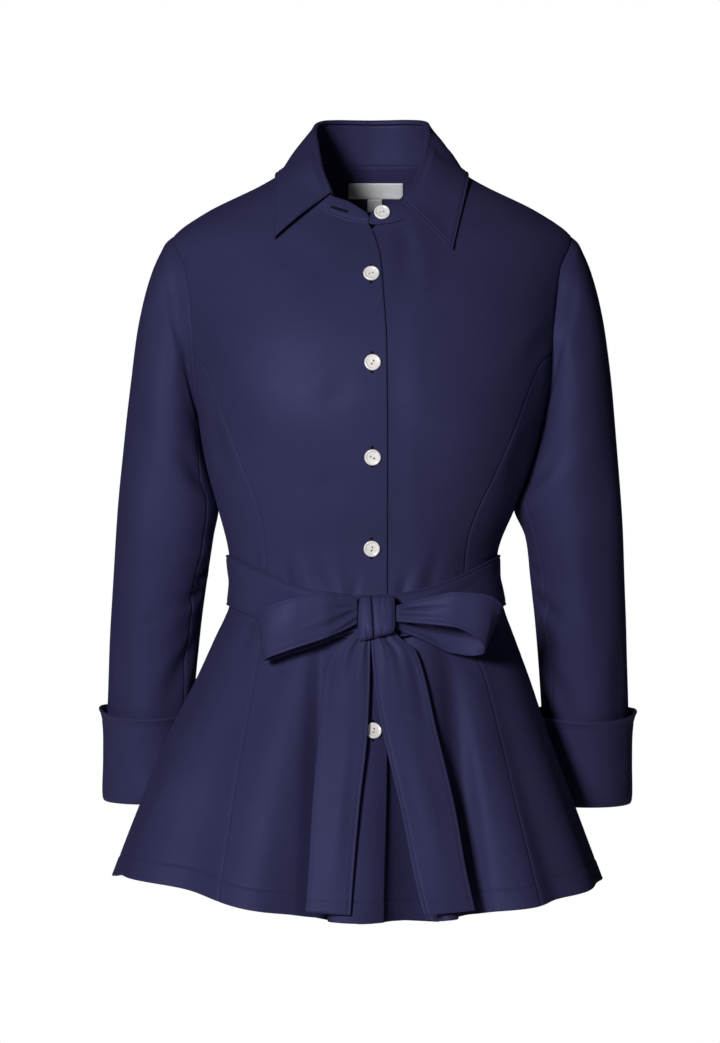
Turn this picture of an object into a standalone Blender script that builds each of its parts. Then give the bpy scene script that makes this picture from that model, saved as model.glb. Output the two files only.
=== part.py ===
"""Belted peplum shirt blouse, worn and filled out, in metres.

+X is the wearer's left, +Y the back and +Z up. The origin is at the base of the neck, level with the
shoulders, where a wearer holds the garment up. "right" and "left" in names are the wearer's.

One body surface gives the torso and the peplum. Panels are regions of it between seam lines, so
neighbours share their points' directions and stay one seam gap apart. Angles go round the body in
degrees: 0 at the centre front, 90 at the left side, 180 at the back and -90 at the right side.
"""
import functools
import math

import bmesh
import bpy
import numpy as np
from mathutils import Matrix, Vector

NAME = "belted_peplum_blouse"

# Cloth and sewing
CLOTH = 0.0015            # thickness of the cloth wall
DOUBLE_CLOTH = 0.0018     # thickness of doubled pieces: collar, cuffs and sash
SEAM_GAP = 0.0003         # space between two pieces that are sewn together
LAP_DEPTH = CLOTH + 0.0005    # how far the under front lies behind the upper one

# Heights, from the base of the neck
NECK_SIDE_Z = 0.008
NECK_HALF_WIDTH = 0.073
NECK_FRONT_DROP = 0.063   # from the neck's side down to the centre front
NECK_BACK_RISE = 0.008    # from the neck's side up to the centre back
WAIST_Z = -0.400          # where the peplum starts to flare
HEM_Z = -0.664
HEM_DROP_FRONT = 0.018
HEM_DROP_BACK = 0.006
# Where the hem hangs higher: angle, spread, rise
HEM_LIFT_ROWS = (
    (-62.0, 17.0, 0.0140),
    (-36.0, 16.0, 0.0095),
    (66.0, 20.0, 0.0045),
)

# Armholes, ovals seen from the side
ARMHOLE_TOP_Z = -0.059
ARMHOLE_LOW_Z = -0.245
ARMHOLE_HALF_DEPTH = 0.047

# Bust, shaped by the princess seams
BUST_Z = -0.215
BUST_RISE = 0.048
BUST_ANGLE = 36.0
BUST_SPREAD = 20.0
BUST_DEPTH = 0.006

# The hollow that each arm presses into the peplum's side
DENT_ANGLE = 112.0
DENT_SPREAD = 12.0

BODY_NAMES = ("z", "half_width", "front", "back", "power", "shift", "widest_y", "arm_dent")
BODY_ROWS = (
    (0.0300, 0.0450, 0.0400, 0.0560, 2.00, 0.0000, 0.000, 0.000),
    (0.0080, 0.0730, 0.0500, 0.0660, 2.00, 0.0000, 0.000, 0.000),
    (-0.0105, 0.1030, 0.0560, 0.0780, 2.00, 0.0000, 0.000, 0.000),
    (-0.0370, 0.1570, 0.0650, 0.0920, 2.00, 0.0000, 0.000, 0.000),
    (-0.0590, 0.1880, 0.0755, 0.1020, 2.02, 0.0000, 0.000, 0.000),
    (-0.0950, 0.1895, 0.0950, 0.1100, 2.08, 0.0000, 0.000, 0.000),
    (-0.1250, 0.1845, 0.1090, 0.1130, 2.15, 0.0000, 0.000, 0.000),
    (-0.1520, 0.1800, 0.1190, 0.1145, 2.20, 0.0000, 0.000, 0.000),
    (-0.1915, 0.1730, 0.1270, 0.1130, 2.20, -0.0005, 0.000, 0.000),
    (-0.2340, 0.1640, 0.1285, 0.1090, 2.20, -0.0010, 0.000, 0.000),
    (-0.2750, 0.1545, 0.1220, 0.1030, 2.20, -0.0030, 0.000, 0.000),
    (-0.3160, 0.1410, 0.1100, 0.0950, 2.20, -0.0054, 0.000, 0.000),
    (-0.3600, 0.1275, 0.0990, 0.0870, 2.20, -0.0084, 0.000, 0.000),
    (-0.4090, 0.1300, 0.1000, 0.0890, 2.15, -0.0055, 0.000, 0.000),
    (-0.4400, 0.1420, 0.1110, 0.1000, 2.10, -0.0070, -0.006, 0.000),
    (-0.4810, 0.1587, 0.1280, 0.1160, 2.05, -0.0086, -0.018, 0.004),
    (-0.5200, 0.1760, 0.1450, 0.1330, 2.00, -0.0119, -0.030, 0.017),
    (-0.5600, 0.1925, 0.1610, 0.1490, 2.00, -0.0130, -0.038, 0.028),
    (-0.6000, 0.2080, 0.1770, 0.1650, 2.00, -0.0135, -0.042, 0.037),
    (-0.6640, 0.2320, 0.2030, 0.1900, 2.00, -0.0136, -0.045, 0.034),
)

# Soft folds of the peplum at its hem: angle, spread, depth (outward positive)
FOLD_ROWS = (
    (-73.0, 6.0, -0.004),
    (-57.0, 7.0, 0.009),
    (-42.0, 5.5, -0.006),
    (-26.0, 6.0, 0.008),
    (-14.0, 3.8, -0.013),
    (-1.0, 6.0, 0.006),
    (10.5, 3.6, -0.015),
    (19.5, 4.5, 0.007),
    (30.5, 4.0, -0.010),
    (41.5, 5.5, 0.009),
    (49.5, 3.5, -0.004),
    (60.0, 6.5, 0.007),
    (75.0, 6.0, -0.004),
    (134.0, 7.0, 0.009),
    (149.0, 6.0, -0.008),
    (165.0, 7.0, 0.009),
    (181.0, 6.0, -0.009),
    (-163.0, 6.5, 0.008),
    (-149.0, 6.5, -0.008),
    (-134.0, 6.5, 0.009),
)

# Seam lines, as distances from the middle plane at each height
SEAM_NAMES = ("z", "front_right", "front_left", "back_right", "back_left")
SEAM_ROWS = (
    (-0.170, -0.1650, 0.1630, -0.1625, 0.1615),
    (-0.200, -0.1465, 0.1460, -0.1420, 0.1410),
    (-0.252, -0.1280, 0.1260, -0.1180, 0.1170),
    (-0.290, -0.1145, 0.1110, -0.1030, 0.0980),
    (-0.323, -0.1035, 0.0960, -0.0910, 0.0830),
    (-0.350, -0.1000, 0.0880, -0.0850, 0.0710),
    (-0.400, -0.0990, 0.0850, -0.0830, 0.0710),
    (-0.442, -0.1028, 0.0920, -0.0880, 0.0750),
    (-0.475, -0.1087, 0.1040, -0.0950, 0.0800),
    (-0.586, -0.1258, 0.1280, -0.1180, 0.0980),
    (-0.666, -0.1350, 0.1450, -0.1350, 0.1120),
)

# Front edges at the closure; both fold back a little at the open neck
EDGE_NAMES = ("z", "upper", "under")
EDGE_ROWS = (
    (-0.0550, -0.0035, 0.0015),
    (-0.0660, 0.0015, -0.0020),
    (-0.0880, 0.0070, -0.0070),
    (-0.1280, 0.0100, -0.0110),
    (-0.1660, 0.0122, -0.0130),
    (-0.2750, 0.0130, -0.0130),
    (-0.5350, 0.0134, -0.0130),
    (-0.6640, 0.0095, -0.0130),
)
HEM_LAP_DEPTH = 0.0022    # and how much further behind it lies at the hem
LAP_FULL_X = 0.0180       # the under front lies fully behind up to here
LAP_END_X = 0.0420        # and is back on the body's surface here

# Sleeve sections: the outer and the inner line of each ring, seen from the front
SLEEVE_NAMES = ("outer_z", "outer_x", "inner_z", "inner_x", "half_depth", "centre_y")
SLEEVE_ROWS = (
    (-0.0680, 0.1960, -0.2435, 0.1690, 0.0490, 0.000),
    (-0.0840, 0.2045, -0.2475, 0.1715, 0.0530, 0.000),
    (-0.1080, 0.2130, -0.2560, 0.1705, 0.0555, 0.001),
    (-0.1400, 0.2205, -0.2685, 0.1670, 0.0570, 0.002),
    (-0.1800, 0.2262, -0.2830, 0.1590, 0.0575, 0.003),
    (-0.2250, 0.2312, -0.2980, 0.1520, 0.0570, 0.005),
    (-0.2720, 0.2357, -0.3170, 0.1440, 0.0560, 0.007),
    (-0.3220, 0.2402, -0.3440, 0.1455, 0.0545, 0.011),
    (-0.3750, 0.2440, -0.3860, 0.1530, 0.0525, 0.018),
    (-0.4280, 0.2472, -0.4330, 0.1605, 0.0505, 0.026),
    (-0.4750, 0.2494, -0.4770, 0.1652, 0.0495, 0.034),
    (-0.5150, 0.2510, -0.5150, 0.1680, 0.0490, 0.040),
    (-0.5600, 0.2520, -0.5600, 0.1695, 0.0488, 0.044),
    (-0.5925, 0.2525, -0.5925, 0.1700, 0.0487, 0.046),
)
SLEEVE_CLEARANCE = 0.0014     # between a sleeve and the side that it hangs against
SLEEVE_SWING = {"right": 0.0045, "left": -0.0045}     # how far each sleeve's end stands out
FRONT_SEAM_ROW = -2           # armhole rows, counted down from its top, where the under sleeve's
BACK_SEAM_ROW = -4            # two seams start
SLEEVE_SEAM_STEP = 0.18       # ring angle that half a seam gap takes up
SLEEVE_NORMAL_STEP = 6.0

# Elbow creases of each sleeve: ring angle, height, spread round, spread up, how far the cloth sinks
CREASE_ROWS = (
    (150.0, -0.372, 40.0, 0.010, 0.0045),
    (120.0, -0.400, 34.0, 0.009, 0.0035),
    (205.0, -0.350, 36.0, 0.011, 0.0040),
    (60.0, -0.385, 26.0, 0.010, 0.0020),
)

# Cuff section, turned up round the sleeve's end: distance out from the sleeve, height over the fold
CUFF_ROWS = (
    (0.0084, 0.0895),
    (0.0068, 0.0910),
    (0.0046, 0.0860),
    (0.0022, 0.0700),
    (0.0014, 0.0400),
    (0.0014, 0.0045),
    (-0.0020, 0.0028),
    (-0.0030, 0.0140),
    (-0.0046, 0.0140),
    (-0.0044, 0.0020),
    (-0.0022, 0.0004),
    (0.0014, 0.0000),
    (0.0030, 0.0030),
    (0.0033, 0.0400),
    (0.0041, 0.0700),
    (0.0064, 0.0850),
)
CUFF_TURNS = range(0, 360, 18)
CUFF_FOLD_Z = {"right": -0.5985, "left": -0.6015}
CUFF_RIM_DIP = 0.10       # share of its height that the cuff's rim dips at the front

# Collar stations from the centre back to the front, a set for each side
COLLAR_NAMES = ("neck_angle", "roll_x", "roll_y", "roll_z", "edge_x", "edge_y", "edge_z")
COLLAR_ROWS = {
    "right": (
        (180.0, 0.0000, 0.0560, 0.0560, 0.0000, 0.0850, 0.0060),
        (158.0, 0.0240, 0.0530, 0.0560, 0.0350, 0.0790, 0.0050),
        (136.0, 0.0435, 0.0400, 0.0540, 0.0660, 0.0580, 0.0025),
        (114.0, 0.0530, 0.0200, 0.0480, 0.0830, 0.0300, 0.0000),
        (92.0, 0.0545, 0.0010, 0.0390, 0.0880, 0.0010, -0.0020),
        (72.0, 0.0520, -0.0190, 0.0230, 0.0890, -0.0260, -0.0120),
        (54.0, 0.0475, -0.0390, 0.0000, 0.0905, -0.0520, -0.0330),
        (36.0, 0.0380, -0.0585, -0.0250, 0.0916, -0.0790, -0.0685),
    ),
    "left": (
        (180.0, 0.0000, 0.0560, 0.0560, 0.0000, 0.0850, 0.0060),
        (158.0, 0.0240, 0.0530, 0.0560, 0.0350, 0.0790, 0.0050),
        (136.0, 0.0435, 0.0400, 0.0540, 0.0660, 0.0580, 0.0025),
        (114.0, 0.0525, 0.0200, 0.0490, 0.0830, 0.0300, 0.0000),
        (92.0, 0.0530, 0.0010, 0.0400, 0.0885, 0.0010, -0.0010),
        (70.0, 0.0490, -0.0220, 0.0160, 0.0870, -0.0280, -0.0150),
        (48.0, 0.0410, -0.0450, -0.0120, 0.0820, -0.0560, -0.0430),
        (26.0, 0.0265, -0.0630, -0.0330, 0.0735, -0.0855, -0.0800),
    ),
}
# Top edge of each stand's front end, past the leaf: neck angle, height over the neckline
STAND_END_ROWS = {
    "right": ((24.0, 0.0195), (14.0, 0.0160), (6.0, 0.0105), (2.7, 0.0035)),
    "left": ((16.0, 0.0185), (7.0, 0.0165), (2.0, 0.0110), (-1.5, 0.0035)),
}
LEAF_ROLL_RADIUS = 0.0029     # half the leaf's fold over the stand
STAND_TOP_DROP = 0.0025       # from the fold's middle down to the stand's top edge
LEAF_BELLY = 0.0030           # how far the leaf bulges between its fold and its edge
LEAF_FOLD_TURNS = (-30.0, 30.0, 90.0, 150.0)
LEAF_FALL_SHARES = (0.20, 0.45, 0.72, 1.0)
LEAF_CLEARANCE = DOUBLE_CLOTH + 0.0022
STAND_STEPS = 2
STAND_SEAT = 0.0010           # between the stand and the neckline's coarser edge

# Sash round the waist
SASH_SIDE_Z = -0.3855
SASH_FRONT_DROP = 0.0315
SASH_DROP_POWER = 2.4
SASH_HEIGHT = 0.0470
SASH_GATHER = 0.0090          # how much narrower it is where it enters the knot
SASH_CLEARANCE = 0.0014
SASH_COLUMNS = 44
SASH_STEPS = 3

# Knot, a barrel of wrapped sash
KNOT_X = 0.0038
KNOT_Y = -0.1156
KNOT_Z = -0.4160
KNOT_TILT = 0.27              # how far its lower end stands forward, for each metre of height
# Its rings: height, half width, half depth
KNOT_ROWS = (
    (0.0180, 0.0128, 0.0050),
    (0.0165, 0.0148, 0.0075),
    (0.0100, 0.0168, 0.0092),
    (0.0000, 0.0172, 0.0098),
    (-0.0100, 0.0168, 0.0092),
    (-0.0165, 0.0146, 0.0072),
    (-0.0180, 0.0126, 0.0048),
)
KNOT_GROOVE_X = -0.0033       # the vertical fold, from the knot's middle
KNOT_GROOVE_DEPTH = 0.0016
KNOT_GROOVE_WIDTH = 0.0022
KNOT_SQUARENESS = 0.72        # under 1 is squarer than an ellipse
KNOT_STEP = 15

# Bow loops: upper and lower edge of the sash from the knot, round the tip and back to the knot
LOOP_NAMES = ("top_x", "top_y", "top_z", "low_x", "low_y", "low_z")
LOOP_ROWS = {
    "right": (
        (-0.0138, -0.1215, -0.3990, -0.0138, -0.1215, -0.4220),
        (-0.0300, -0.1265, -0.3955, -0.0300, -0.1275, -0.4300),
        (-0.0450, -0.1300, -0.3938, -0.0455, -0.1320, -0.4360),
        (-0.0695, -0.1305, -0.3983, -0.0700, -0.1330, -0.4440),
        (-0.0960, -0.1240, -0.4064, -0.0950, -0.1270, -0.4530),
        (-0.1055, -0.1150, -0.4110, -0.0990, -0.1160, -0.4560),
        (-0.0950, -0.1070, -0.4085, -0.0900, -0.1060, -0.4560),
        (-0.0695, -0.1055, -0.4040, -0.0695, -0.1050, -0.4520),
        (-0.0450, -0.1070, -0.4010, -0.0460, -0.1070, -0.4430),
        (-0.0138, -0.1120, -0.4010, -0.0138, -0.1120, -0.4290),
    ),
    "left": (
        (0.0214, -0.1210, -0.4064, 0.0214, -0.1210, -0.4204),
        (0.0373, -0.1280, -0.4019, 0.0373, -0.1285, -0.4213),
        (0.0572, -0.1340, -0.3970, 0.0572, -0.1350, -0.4230),
        (0.0738, -0.1360, -0.3938, 0.0738, -0.1370, -0.4250),
        (0.0950, -0.1340, -0.3950, 0.0930, -0.1340, -0.4340),
        (0.1110, -0.1270, -0.4000, 0.1020, -0.1250, -0.4440),
        (0.1185, -0.1170, -0.4075, 0.1010, -0.1140, -0.4500),
        (0.1050, -0.1090, -0.4060, 0.0900, -0.1070, -0.4520),
        (0.0738, -0.1060, -0.4030, 0.0725, -0.1055, -0.4495),
        (0.0450, -0.1070, -0.4040, 0.0440, -0.1070, -0.4380),
        (0.0214, -0.1115, -0.4080, 0.0214, -0.1115, -0.4270),
    ),
}
LOOP_BELLY = 0.0020           # how far the loop's cloth bulges between its edges
LOOP_STATIONS = 22
LOOP_SHARES = (0.0, 0.33, 0.67, 1.0)
LOOP_CLEARANCE = 0.0050

# Sash tails, lying on the peplum's front: their two edges and their distance out from it
TAIL_NAMES = ("z", "right_x", "left_x", "lift")
TAIL_ROWS = {
    "right": (
        (-0.4375, -0.0215, -0.0022, 0.0085),
        (-0.4480, -0.0330, -0.0026, 0.0080),
        (-0.4730, -0.0421, -0.0030, 0.0085),
        (-0.5214, -0.0472, -0.0056, 0.0090),
        (-0.5718, -0.0519, -0.0118, 0.0095),
        (-0.6303, -0.0555, -0.0176, 0.0100),
        (-0.6600, -0.0578, -0.0198, 0.0100),
    ),
    "left": (
        (-0.4375, -0.0012, 0.0235, 0.0085),
        (-0.4480, -0.0006, 0.0370, 0.0080),
        (-0.4730, 0.0016, 0.0455, 0.0085),
        (-0.5100, 0.0075, 0.0535, 0.0090),
        (-0.5353, 0.0134, 0.0597, 0.0095),
        (-0.5811, 0.0250, 0.0707, 0.0100),
        (-0.6286, 0.0351, 0.0792, 0.0105),
        (-0.6610, 0.0435, 0.0865, 0.0110),
    ),
}
TAIL_STATIONS = 14
TAIL_SHARES = (0.0, 0.33, 0.67, 1.0)
TAIL_BELLY = 0.0010           # how far each tail bulges between its edges

# Buttons: two-hole, shallow dished
# Half section from the back to the dish: radius, height
BUTTON_PROFILE = (
    (0.0069, 0.0000),
    (0.0075, 0.0007),
    (0.0073, 0.0019),
    (0.0066, 0.0024),
    (0.0056, 0.0023),
    (0.0046, 0.0018),
)
BUTTON_HOLE_RADIUS = 0.0009
BUTTON_HOLE_DEPTH = 0.0096    # length of the drills, well past both faces
BUTTON_HOLE_OFFSET = 0.0016
STAND_BUTTON_SEAT = 0.0004    # between the top button and the stand; the others have a seat each
BUTTON_SEGMENTS = 14
BUTTON_HOLE_SEGMENTS = 6
# Each button: name, place on the front, turn of its holes, gap to the cloth
BUTTON_ROWS = (
    ("button_1", -0.0010, -0.1043, 20.0, 0.0005),
    ("button_2", 0.0000, -0.1866, 60.0, 0.0005),
    ("button_3", 0.0000, -0.2719, -30.0, 0.0005),
    ("button_4", -0.0006, -0.3548, 80.0, 0.0012),
    ("button_5", 0.0005, -0.5132, 70.0, 0.0005),
)
STAND_BUTTON_ANGLE = 10.0     # place of the undone top button round the neck
STAND_BUTTON_HEIGHT = 0.0105  # and its height on the stand

# Woven label and size tab on the back panel's inside
LABEL_X = (-0.0230, 0.0310)
LABEL_Z = (-0.0170, -0.0052)
TAB_X = (-0.0040, 0.0100)
TAB_Z = (-0.0270, -0.0174)
LABEL_THICKNESS = 0.0008
LABEL_CLEARANCE = 0.0014

# Heights of the panels' rows, the same on both sides of every seam
PEPLUM_HEIGHTS = (-0.664, -0.640, -0.606, -0.570, -0.534, -0.500, -0.466, -0.438, -0.420, -0.408)
TRUNK_HEIGHTS = (-0.396, -0.380, -0.360, -0.334, -0.306, -0.276, ARMHOLE_LOW_Z - 0.5 * SEAM_GAP)
SIDE_HEIGHTS = (-0.2400, -0.2270, -0.2120, -0.1970, -0.1830, -0.1735)
CHEST_HEIGHTS = (-0.1560, -0.1340, -0.1130, -0.0930, -0.0760, -0.0650)
SHOULDER_HEIGHTS = (ARMHOLE_TOP_Z + 0.5 * SEAM_GAP, -0.0545)
NECK_HEIGHTS = (-0.0520, -0.0460, -0.0370, -0.0260, -0.0140, -0.0030, 0.0050)
BACK_NECK_HEIGHTS = (-0.0370, -0.0140, 0.0000, 0.0076)
PANEL_HEIGHTS = PEPLUM_HEIGHTS + TRUNK_HEIGHTS + SIDE_HEIGHTS
CENTRE_COLUMNS = 10
SIDE_COLUMNS = 8
BACK_COLUMNS = 13

NAVY = (0.030, 0.027, 0.085, 1.0)
NAVY_DOUBLE = (0.034, 0.031, 0.092, 1.0)
PEARL = (0.86, 0.83, 0.78, 1.0)
LABEL_WHITE = (0.66, 0.66, 0.70, 1.0)


class Table:
    """Named columns over a first column, read on smooth curves through their rows.

    A limited table's curves never overshoot a row; a free one's are rounder.
    """

    def __init__(self, names, rows, limited=True):
        ordered = sorted(rows)
        self.names = names
        self.keys = np.array([row[0] for row in ordered], dtype=float)
        self.values = {}
        self.slopes = {}
        for index, name in enumerate(names):
            column = np.array([row[index] for row in ordered], dtype=float)
            self.values[name] = column
            self.slopes[name] = row_slopes(self.keys, column, limited)

    def at(self, name, key):
        keys = self.keys
        key = clamp(key, keys[0], keys[-1])
        i = int(np.clip(np.searchsorted(keys, key) - 1, 0, len(keys) - 2))
        step = keys[i + 1] - keys[i]
        t = (key - keys[i]) / step
        low, high = self.values[name][i], self.values[name][i + 1]
        slope_low, slope_high = self.slopes[name][i], self.slopes[name][i + 1]
        return (low * (2 * t**3 - 3 * t**2 + 1) + slope_low * step * (t**3 - 2 * t**2 + t)
                + high * (3 * t**2 - 2 * t**3) + slope_high * step * (t**3 - t**2))


def row_slopes(keys, values, limited):
    """Slope at each row: the harmonic mean of its two sides, or a parabola's through three rows."""
    steps = np.diff(keys)
    sides = np.diff(values) / steps
    slopes = np.zeros(len(values))
    slopes[0], slopes[-1] = sides[0], sides[-1]
    for i in range(1, len(values) - 1):
        if not limited:
            slopes[i] = (sides[i - 1] * steps[i] + sides[i] * steps[i - 1]) / (steps[i - 1] + steps[i])
        elif sides[i - 1] * sides[i] > 0.0:
            slopes[i] = 2.0 * sides[i - 1] * sides[i] / (sides[i - 1] + sides[i])
    return slopes


def clamp(value, low, high):
    return max(low, min(high, value))


def ease(value):
    value = clamp(value, 0.0, 1.0)
    return value * value * (3.0 - 2.0 * value)


def bump(angle, centre, spread):
    """1 at the centre angle, falling off on both sides."""
    away = ((angle - centre + 180.0) % 360.0 - 180.0) / spread
    return math.exp(-0.5 * away * away)


BODY = Table(BODY_NAMES, BODY_ROWS, limited=False)
SEAMS = Table(SEAM_NAMES, SEAM_ROWS)
EDGES = Table(EDGE_NAMES, EDGE_ROWS)


@functools.lru_cache(maxsize=None)
def section(z):
    return {name: BODY.at(name, z) for name in BODY_NAMES}


def flare(z):
    """0 at the waist and above, 1 at the hem."""
    return clamp((WAIST_Z - z) / (WAIST_Z - HEM_Z), 0.0, 1.0)


def fold_depth(angle, z):
    """How far the peplum's folds move the body surface out."""
    share = flare(z) ** 1.3
    return share * sum(depth * bump(angle, centre, spread) for centre, spread, depth in FOLD_ROWS)


def swell(angle, z):
    """How far the bust and the arms' hollows move the body surface out."""
    bust_height = math.exp(-0.5 * ((z - BUST_Z) / BUST_RISE) ** 2)
    bust = bump(angle, BUST_ANGLE, BUST_SPREAD) + bump(angle, -BUST_ANGLE, BUST_SPREAD)
    dent = bump(angle, DENT_ANGLE, DENT_SPREAD) + bump(angle, -DENT_ANGLE, DENT_SPREAD)
    return BUST_DEPTH * bust_height * bust - section(z)["arm_dent"] * dent


def body_surface(angle, z, folded=True):
    """Outer face of the cloth at an angle and a height."""
    cut = section(z)
    turn = math.radians(angle)
    across = math.copysign(abs(math.sin(turn)) ** (2.0 / cut["power"]), math.sin(turn))
    along = math.copysign(abs(math.cos(turn)) ** (2.0 / cut["power"]), math.cos(turn))
    out = swell(angle, z) + (fold_depth(angle, z) if folded and z < WAIST_Z else 0.0)
    depth = cut["front"] + cut["widest_y"] if along > 0.0 else cut["back"] - cut["widest_y"]
    drop = HEM_DROP_FRONT * max(along, 0.0) ** 2 + HEM_DROP_BACK * max(-along, 0.0) ** 2
    drop -= sum(lift * bump(angle, centre, spread) for centre, spread, lift in HEM_LIFT_ROWS)
    rise = NECK_BACK_RISE * max(-along, 0.0) * ease((z + 0.040) / 0.048)
    return Vector((
        cut["shift"] + (cut["half_width"] + out) * across,
        cut["widest_y"] - (depth + out) * along,
        z - drop * flare(z) ** 1.5 + rise,
    ))


def body_normal(angle, z):
    round_step = 0.6
    up_step = 0.002
    across = body_surface(angle + round_step, z) - body_surface(angle - round_step, z)
    upward = body_surface(angle, z + up_step) - body_surface(angle, z - up_step)
    return across.cross(upward).normalized()


def body_point(angle, z, out=0.0):
    return body_surface(angle, z) + body_normal(angle, z) * out


def front_angle(x, z):
    """Angle on the body's front at a distance from the middle plane."""
    cut = section(z)
    share = clamp(abs(x - cut["shift"]) / cut["half_width"], 0.0, 1.0)
    return math.degrees(math.copysign(math.asin(share ** (cut["power"] / 2.0)), x - cut["shift"]))


def back_angle(x, z):
    angle = front_angle(x, z)
    return math.copysign(180.0, angle) - angle


def seam_step(angle, z):
    """Angle that half a seam gap takes up."""
    arc = (body_surface(angle + 0.5, z) - body_surface(angle - 0.5, z)).length
    return 0.5 * SEAM_GAP / arc


def neck_front_x(z):
    """Half width of the front neckline at a height."""
    share = clamp((NECK_SIDE_Z - z) / NECK_FRONT_DROP, 0.0, 1.0)
    return NECK_HALF_WIDTH * math.sqrt(1.0 - share * share)


def armhole_reach(z, grow):
    """Half depth of the armhole oval at a height, none above or below it."""
    middle = 0.5 * (ARMHOLE_TOP_Z + ARMHOLE_LOW_Z)
    half_height = 0.5 * (ARMHOLE_TOP_Z - ARMHOLE_LOW_Z) + grow
    share = (z - middle) / half_height
    return (ARMHOLE_HALF_DEPTH + grow) * math.sqrt(max(0.0, 1.0 - share * share))


def armhole_angle(z, reach, side):
    """Angle where the armhole's front (side 1) or back (side -1) edge lies."""
    cut = section(z)
    depth = cut["front"] if side > 0 else cut["back"]
    angle = math.degrees(math.acos(clamp(reach / depth, 0.0, 1.0) ** (cut["power"] / 2.0)))
    return angle if side > 0 else 180.0 - angle


def grid_solid(outer, inner, ring=False):
    """Closed wall between two grids of points, which have a row for each section."""
    mesh = bmesh.new()
    rows, columns = len(outer), len(outer[0])
    faces = [[[mesh.verts.new(point) for point in row] for row in grid] for grid in (outer, inner)]
    last = columns if ring else columns - 1
    for i in range(rows - 1):
        for j in range(last):
            k = (j + 1) % columns
            for grid in faces:
                mesh.faces.new((grid[i][j], grid[i][k], grid[i + 1][k], grid[i + 1][j]))
    for i in (0, rows - 1):
        for j in range(last):
            k = (j + 1) % columns
            mesh.faces.new((faces[0][i][j], faces[0][i][k], faces[1][i][k], faces[1][i][j]))
    if not ring:
        for j in (0, columns - 1):
            for i in range(rows - 1):
                mesh.faces.new((faces[0][i][j], faces[0][i + 1][j], faces[1][i + 1][j], faces[1][i][j]))
    bmesh.ops.recalc_face_normals(mesh, faces=mesh.faces)
    return mesh


def lathe_solid(rows, ring=False):
    """Closed solid through rings of points: capped at both ends, or joined end to end."""
    mesh = bmesh.new()
    count = len(rows[0])
    verts = [[mesh.verts.new(point) for point in row] for row in rows]
    last = len(rows) if ring else len(rows) - 1
    for i in range(last):
        above = verts[(i + 1) % len(rows)]
        for j in range(count):
            k = (j + 1) % count
            mesh.faces.new((verts[i][j], verts[i][k], above[k], above[j]))
    if not ring:
        mesh.faces.new(verts[0])
        mesh.faces.new(verts[-1])
    bmesh.ops.recalc_face_normals(mesh, faces=mesh.faces)
    return mesh


def add_piece(name, mesh, material, collection):
    data = bpy.data.meshes.new(name)
    mesh.to_mesh(data)
    mesh.free()
    data.shade_smooth()
    data.materials.append(material)
    piece = bpy.data.objects.new(name, data)
    collection.objects.link(piece)
    return piece


def make_material(name, colour, roughness):
    material = bpy.data.materials.new(name)
    material.use_nodes = True
    shader = material.node_tree.nodes["Principled BSDF"]
    shader.inputs["Base Color"].default_value = colour
    shader.inputs["Roughness"].default_value = roughness
    shader.inputs["Metallic"].default_value = 0.0
    return material


def panel_solid(heights, start, end, columns, inset=None):
    """Wall on the body between two angle functions, or rows of start and end angles."""
    outer, inner = [], []
    for z in heights:
        first, last = start(z), end(z)
        outer_row, inner_row = [], []
        for j in range(columns + 1):
            angle = first + (last - first) * j / columns
            deep = inset(angle, z) if inset else 0.0
            outer_row.append(body_point(angle, z, -deep))
            inner_row.append(body_point(angle, z, -deep - CLOTH))
        outer.append(outer_row)
        inner.append(inner_row)
    return grid_solid(outer, inner)


def front_centre(side):
    """Centre front of one side, -1 for the right and 1 for the left."""
    edge = "upper" if side < 0 else "under"
    seam = "front_right" if side < 0 else "front_left"

    def start(z):
        x = EDGES.at(edge, z)
        neck_z = NECK_SIDE_Z - NECK_FRONT_DROP
        if z > neck_z:
            x = side * max(side * x, neck_front_x(z))
        return front_angle(x, z)

    def end(z):
        if z > ARMHOLE_TOP_Z:
            return side * 90.0 - side * seam_step(90.0, z)
        if z > SEAM_ROWS[0][0]:
            return side * armhole_angle(z, armhole_reach(z, 0.5 * SEAM_GAP), 1)
        angle = front_angle(SEAMS.at(seam, z), z)
        return angle - side * seam_step(angle, z)

    def lap(angle, z):
        x = body_surface(angle, z).x
        depth = LAP_DEPTH + HEM_LAP_DEPTH * flare(z)
        return depth * (1.0 - ease((x - LAP_FULL_X) / (LAP_END_X - LAP_FULL_X)))

    heights = PANEL_HEIGHTS + CHEST_HEIGHTS + SHOULDER_HEIGHTS + NECK_HEIGHTS
    return panel_solid(heights, start, end, CENTRE_COLUMNS, lap if side > 0 else None)


def side_panel(side, facing):
    """Side panel of one side (-1 right, 1 left), at the front (facing 1) or the back (facing -1)."""
    seam = ("front_" if facing > 0 else "back_") + ("right" if side < 0 else "left")
    to_angle = front_angle if facing > 0 else back_angle

    def start(z):
        angle = to_angle(SEAMS.at(seam, z), z)
        return angle + side * facing * seam_step(angle, z)

    def end(z):
        reach = armhole_reach(z, 0.5 * SEAM_GAP)
        if reach > 0.0:
            return side * armhole_angle(z, reach, facing)
        return side * (90.0 - facing * seam_step(90.0, z))

    return panel_solid(PANEL_HEIGHTS, start, end, SIDE_COLUMNS)


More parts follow.
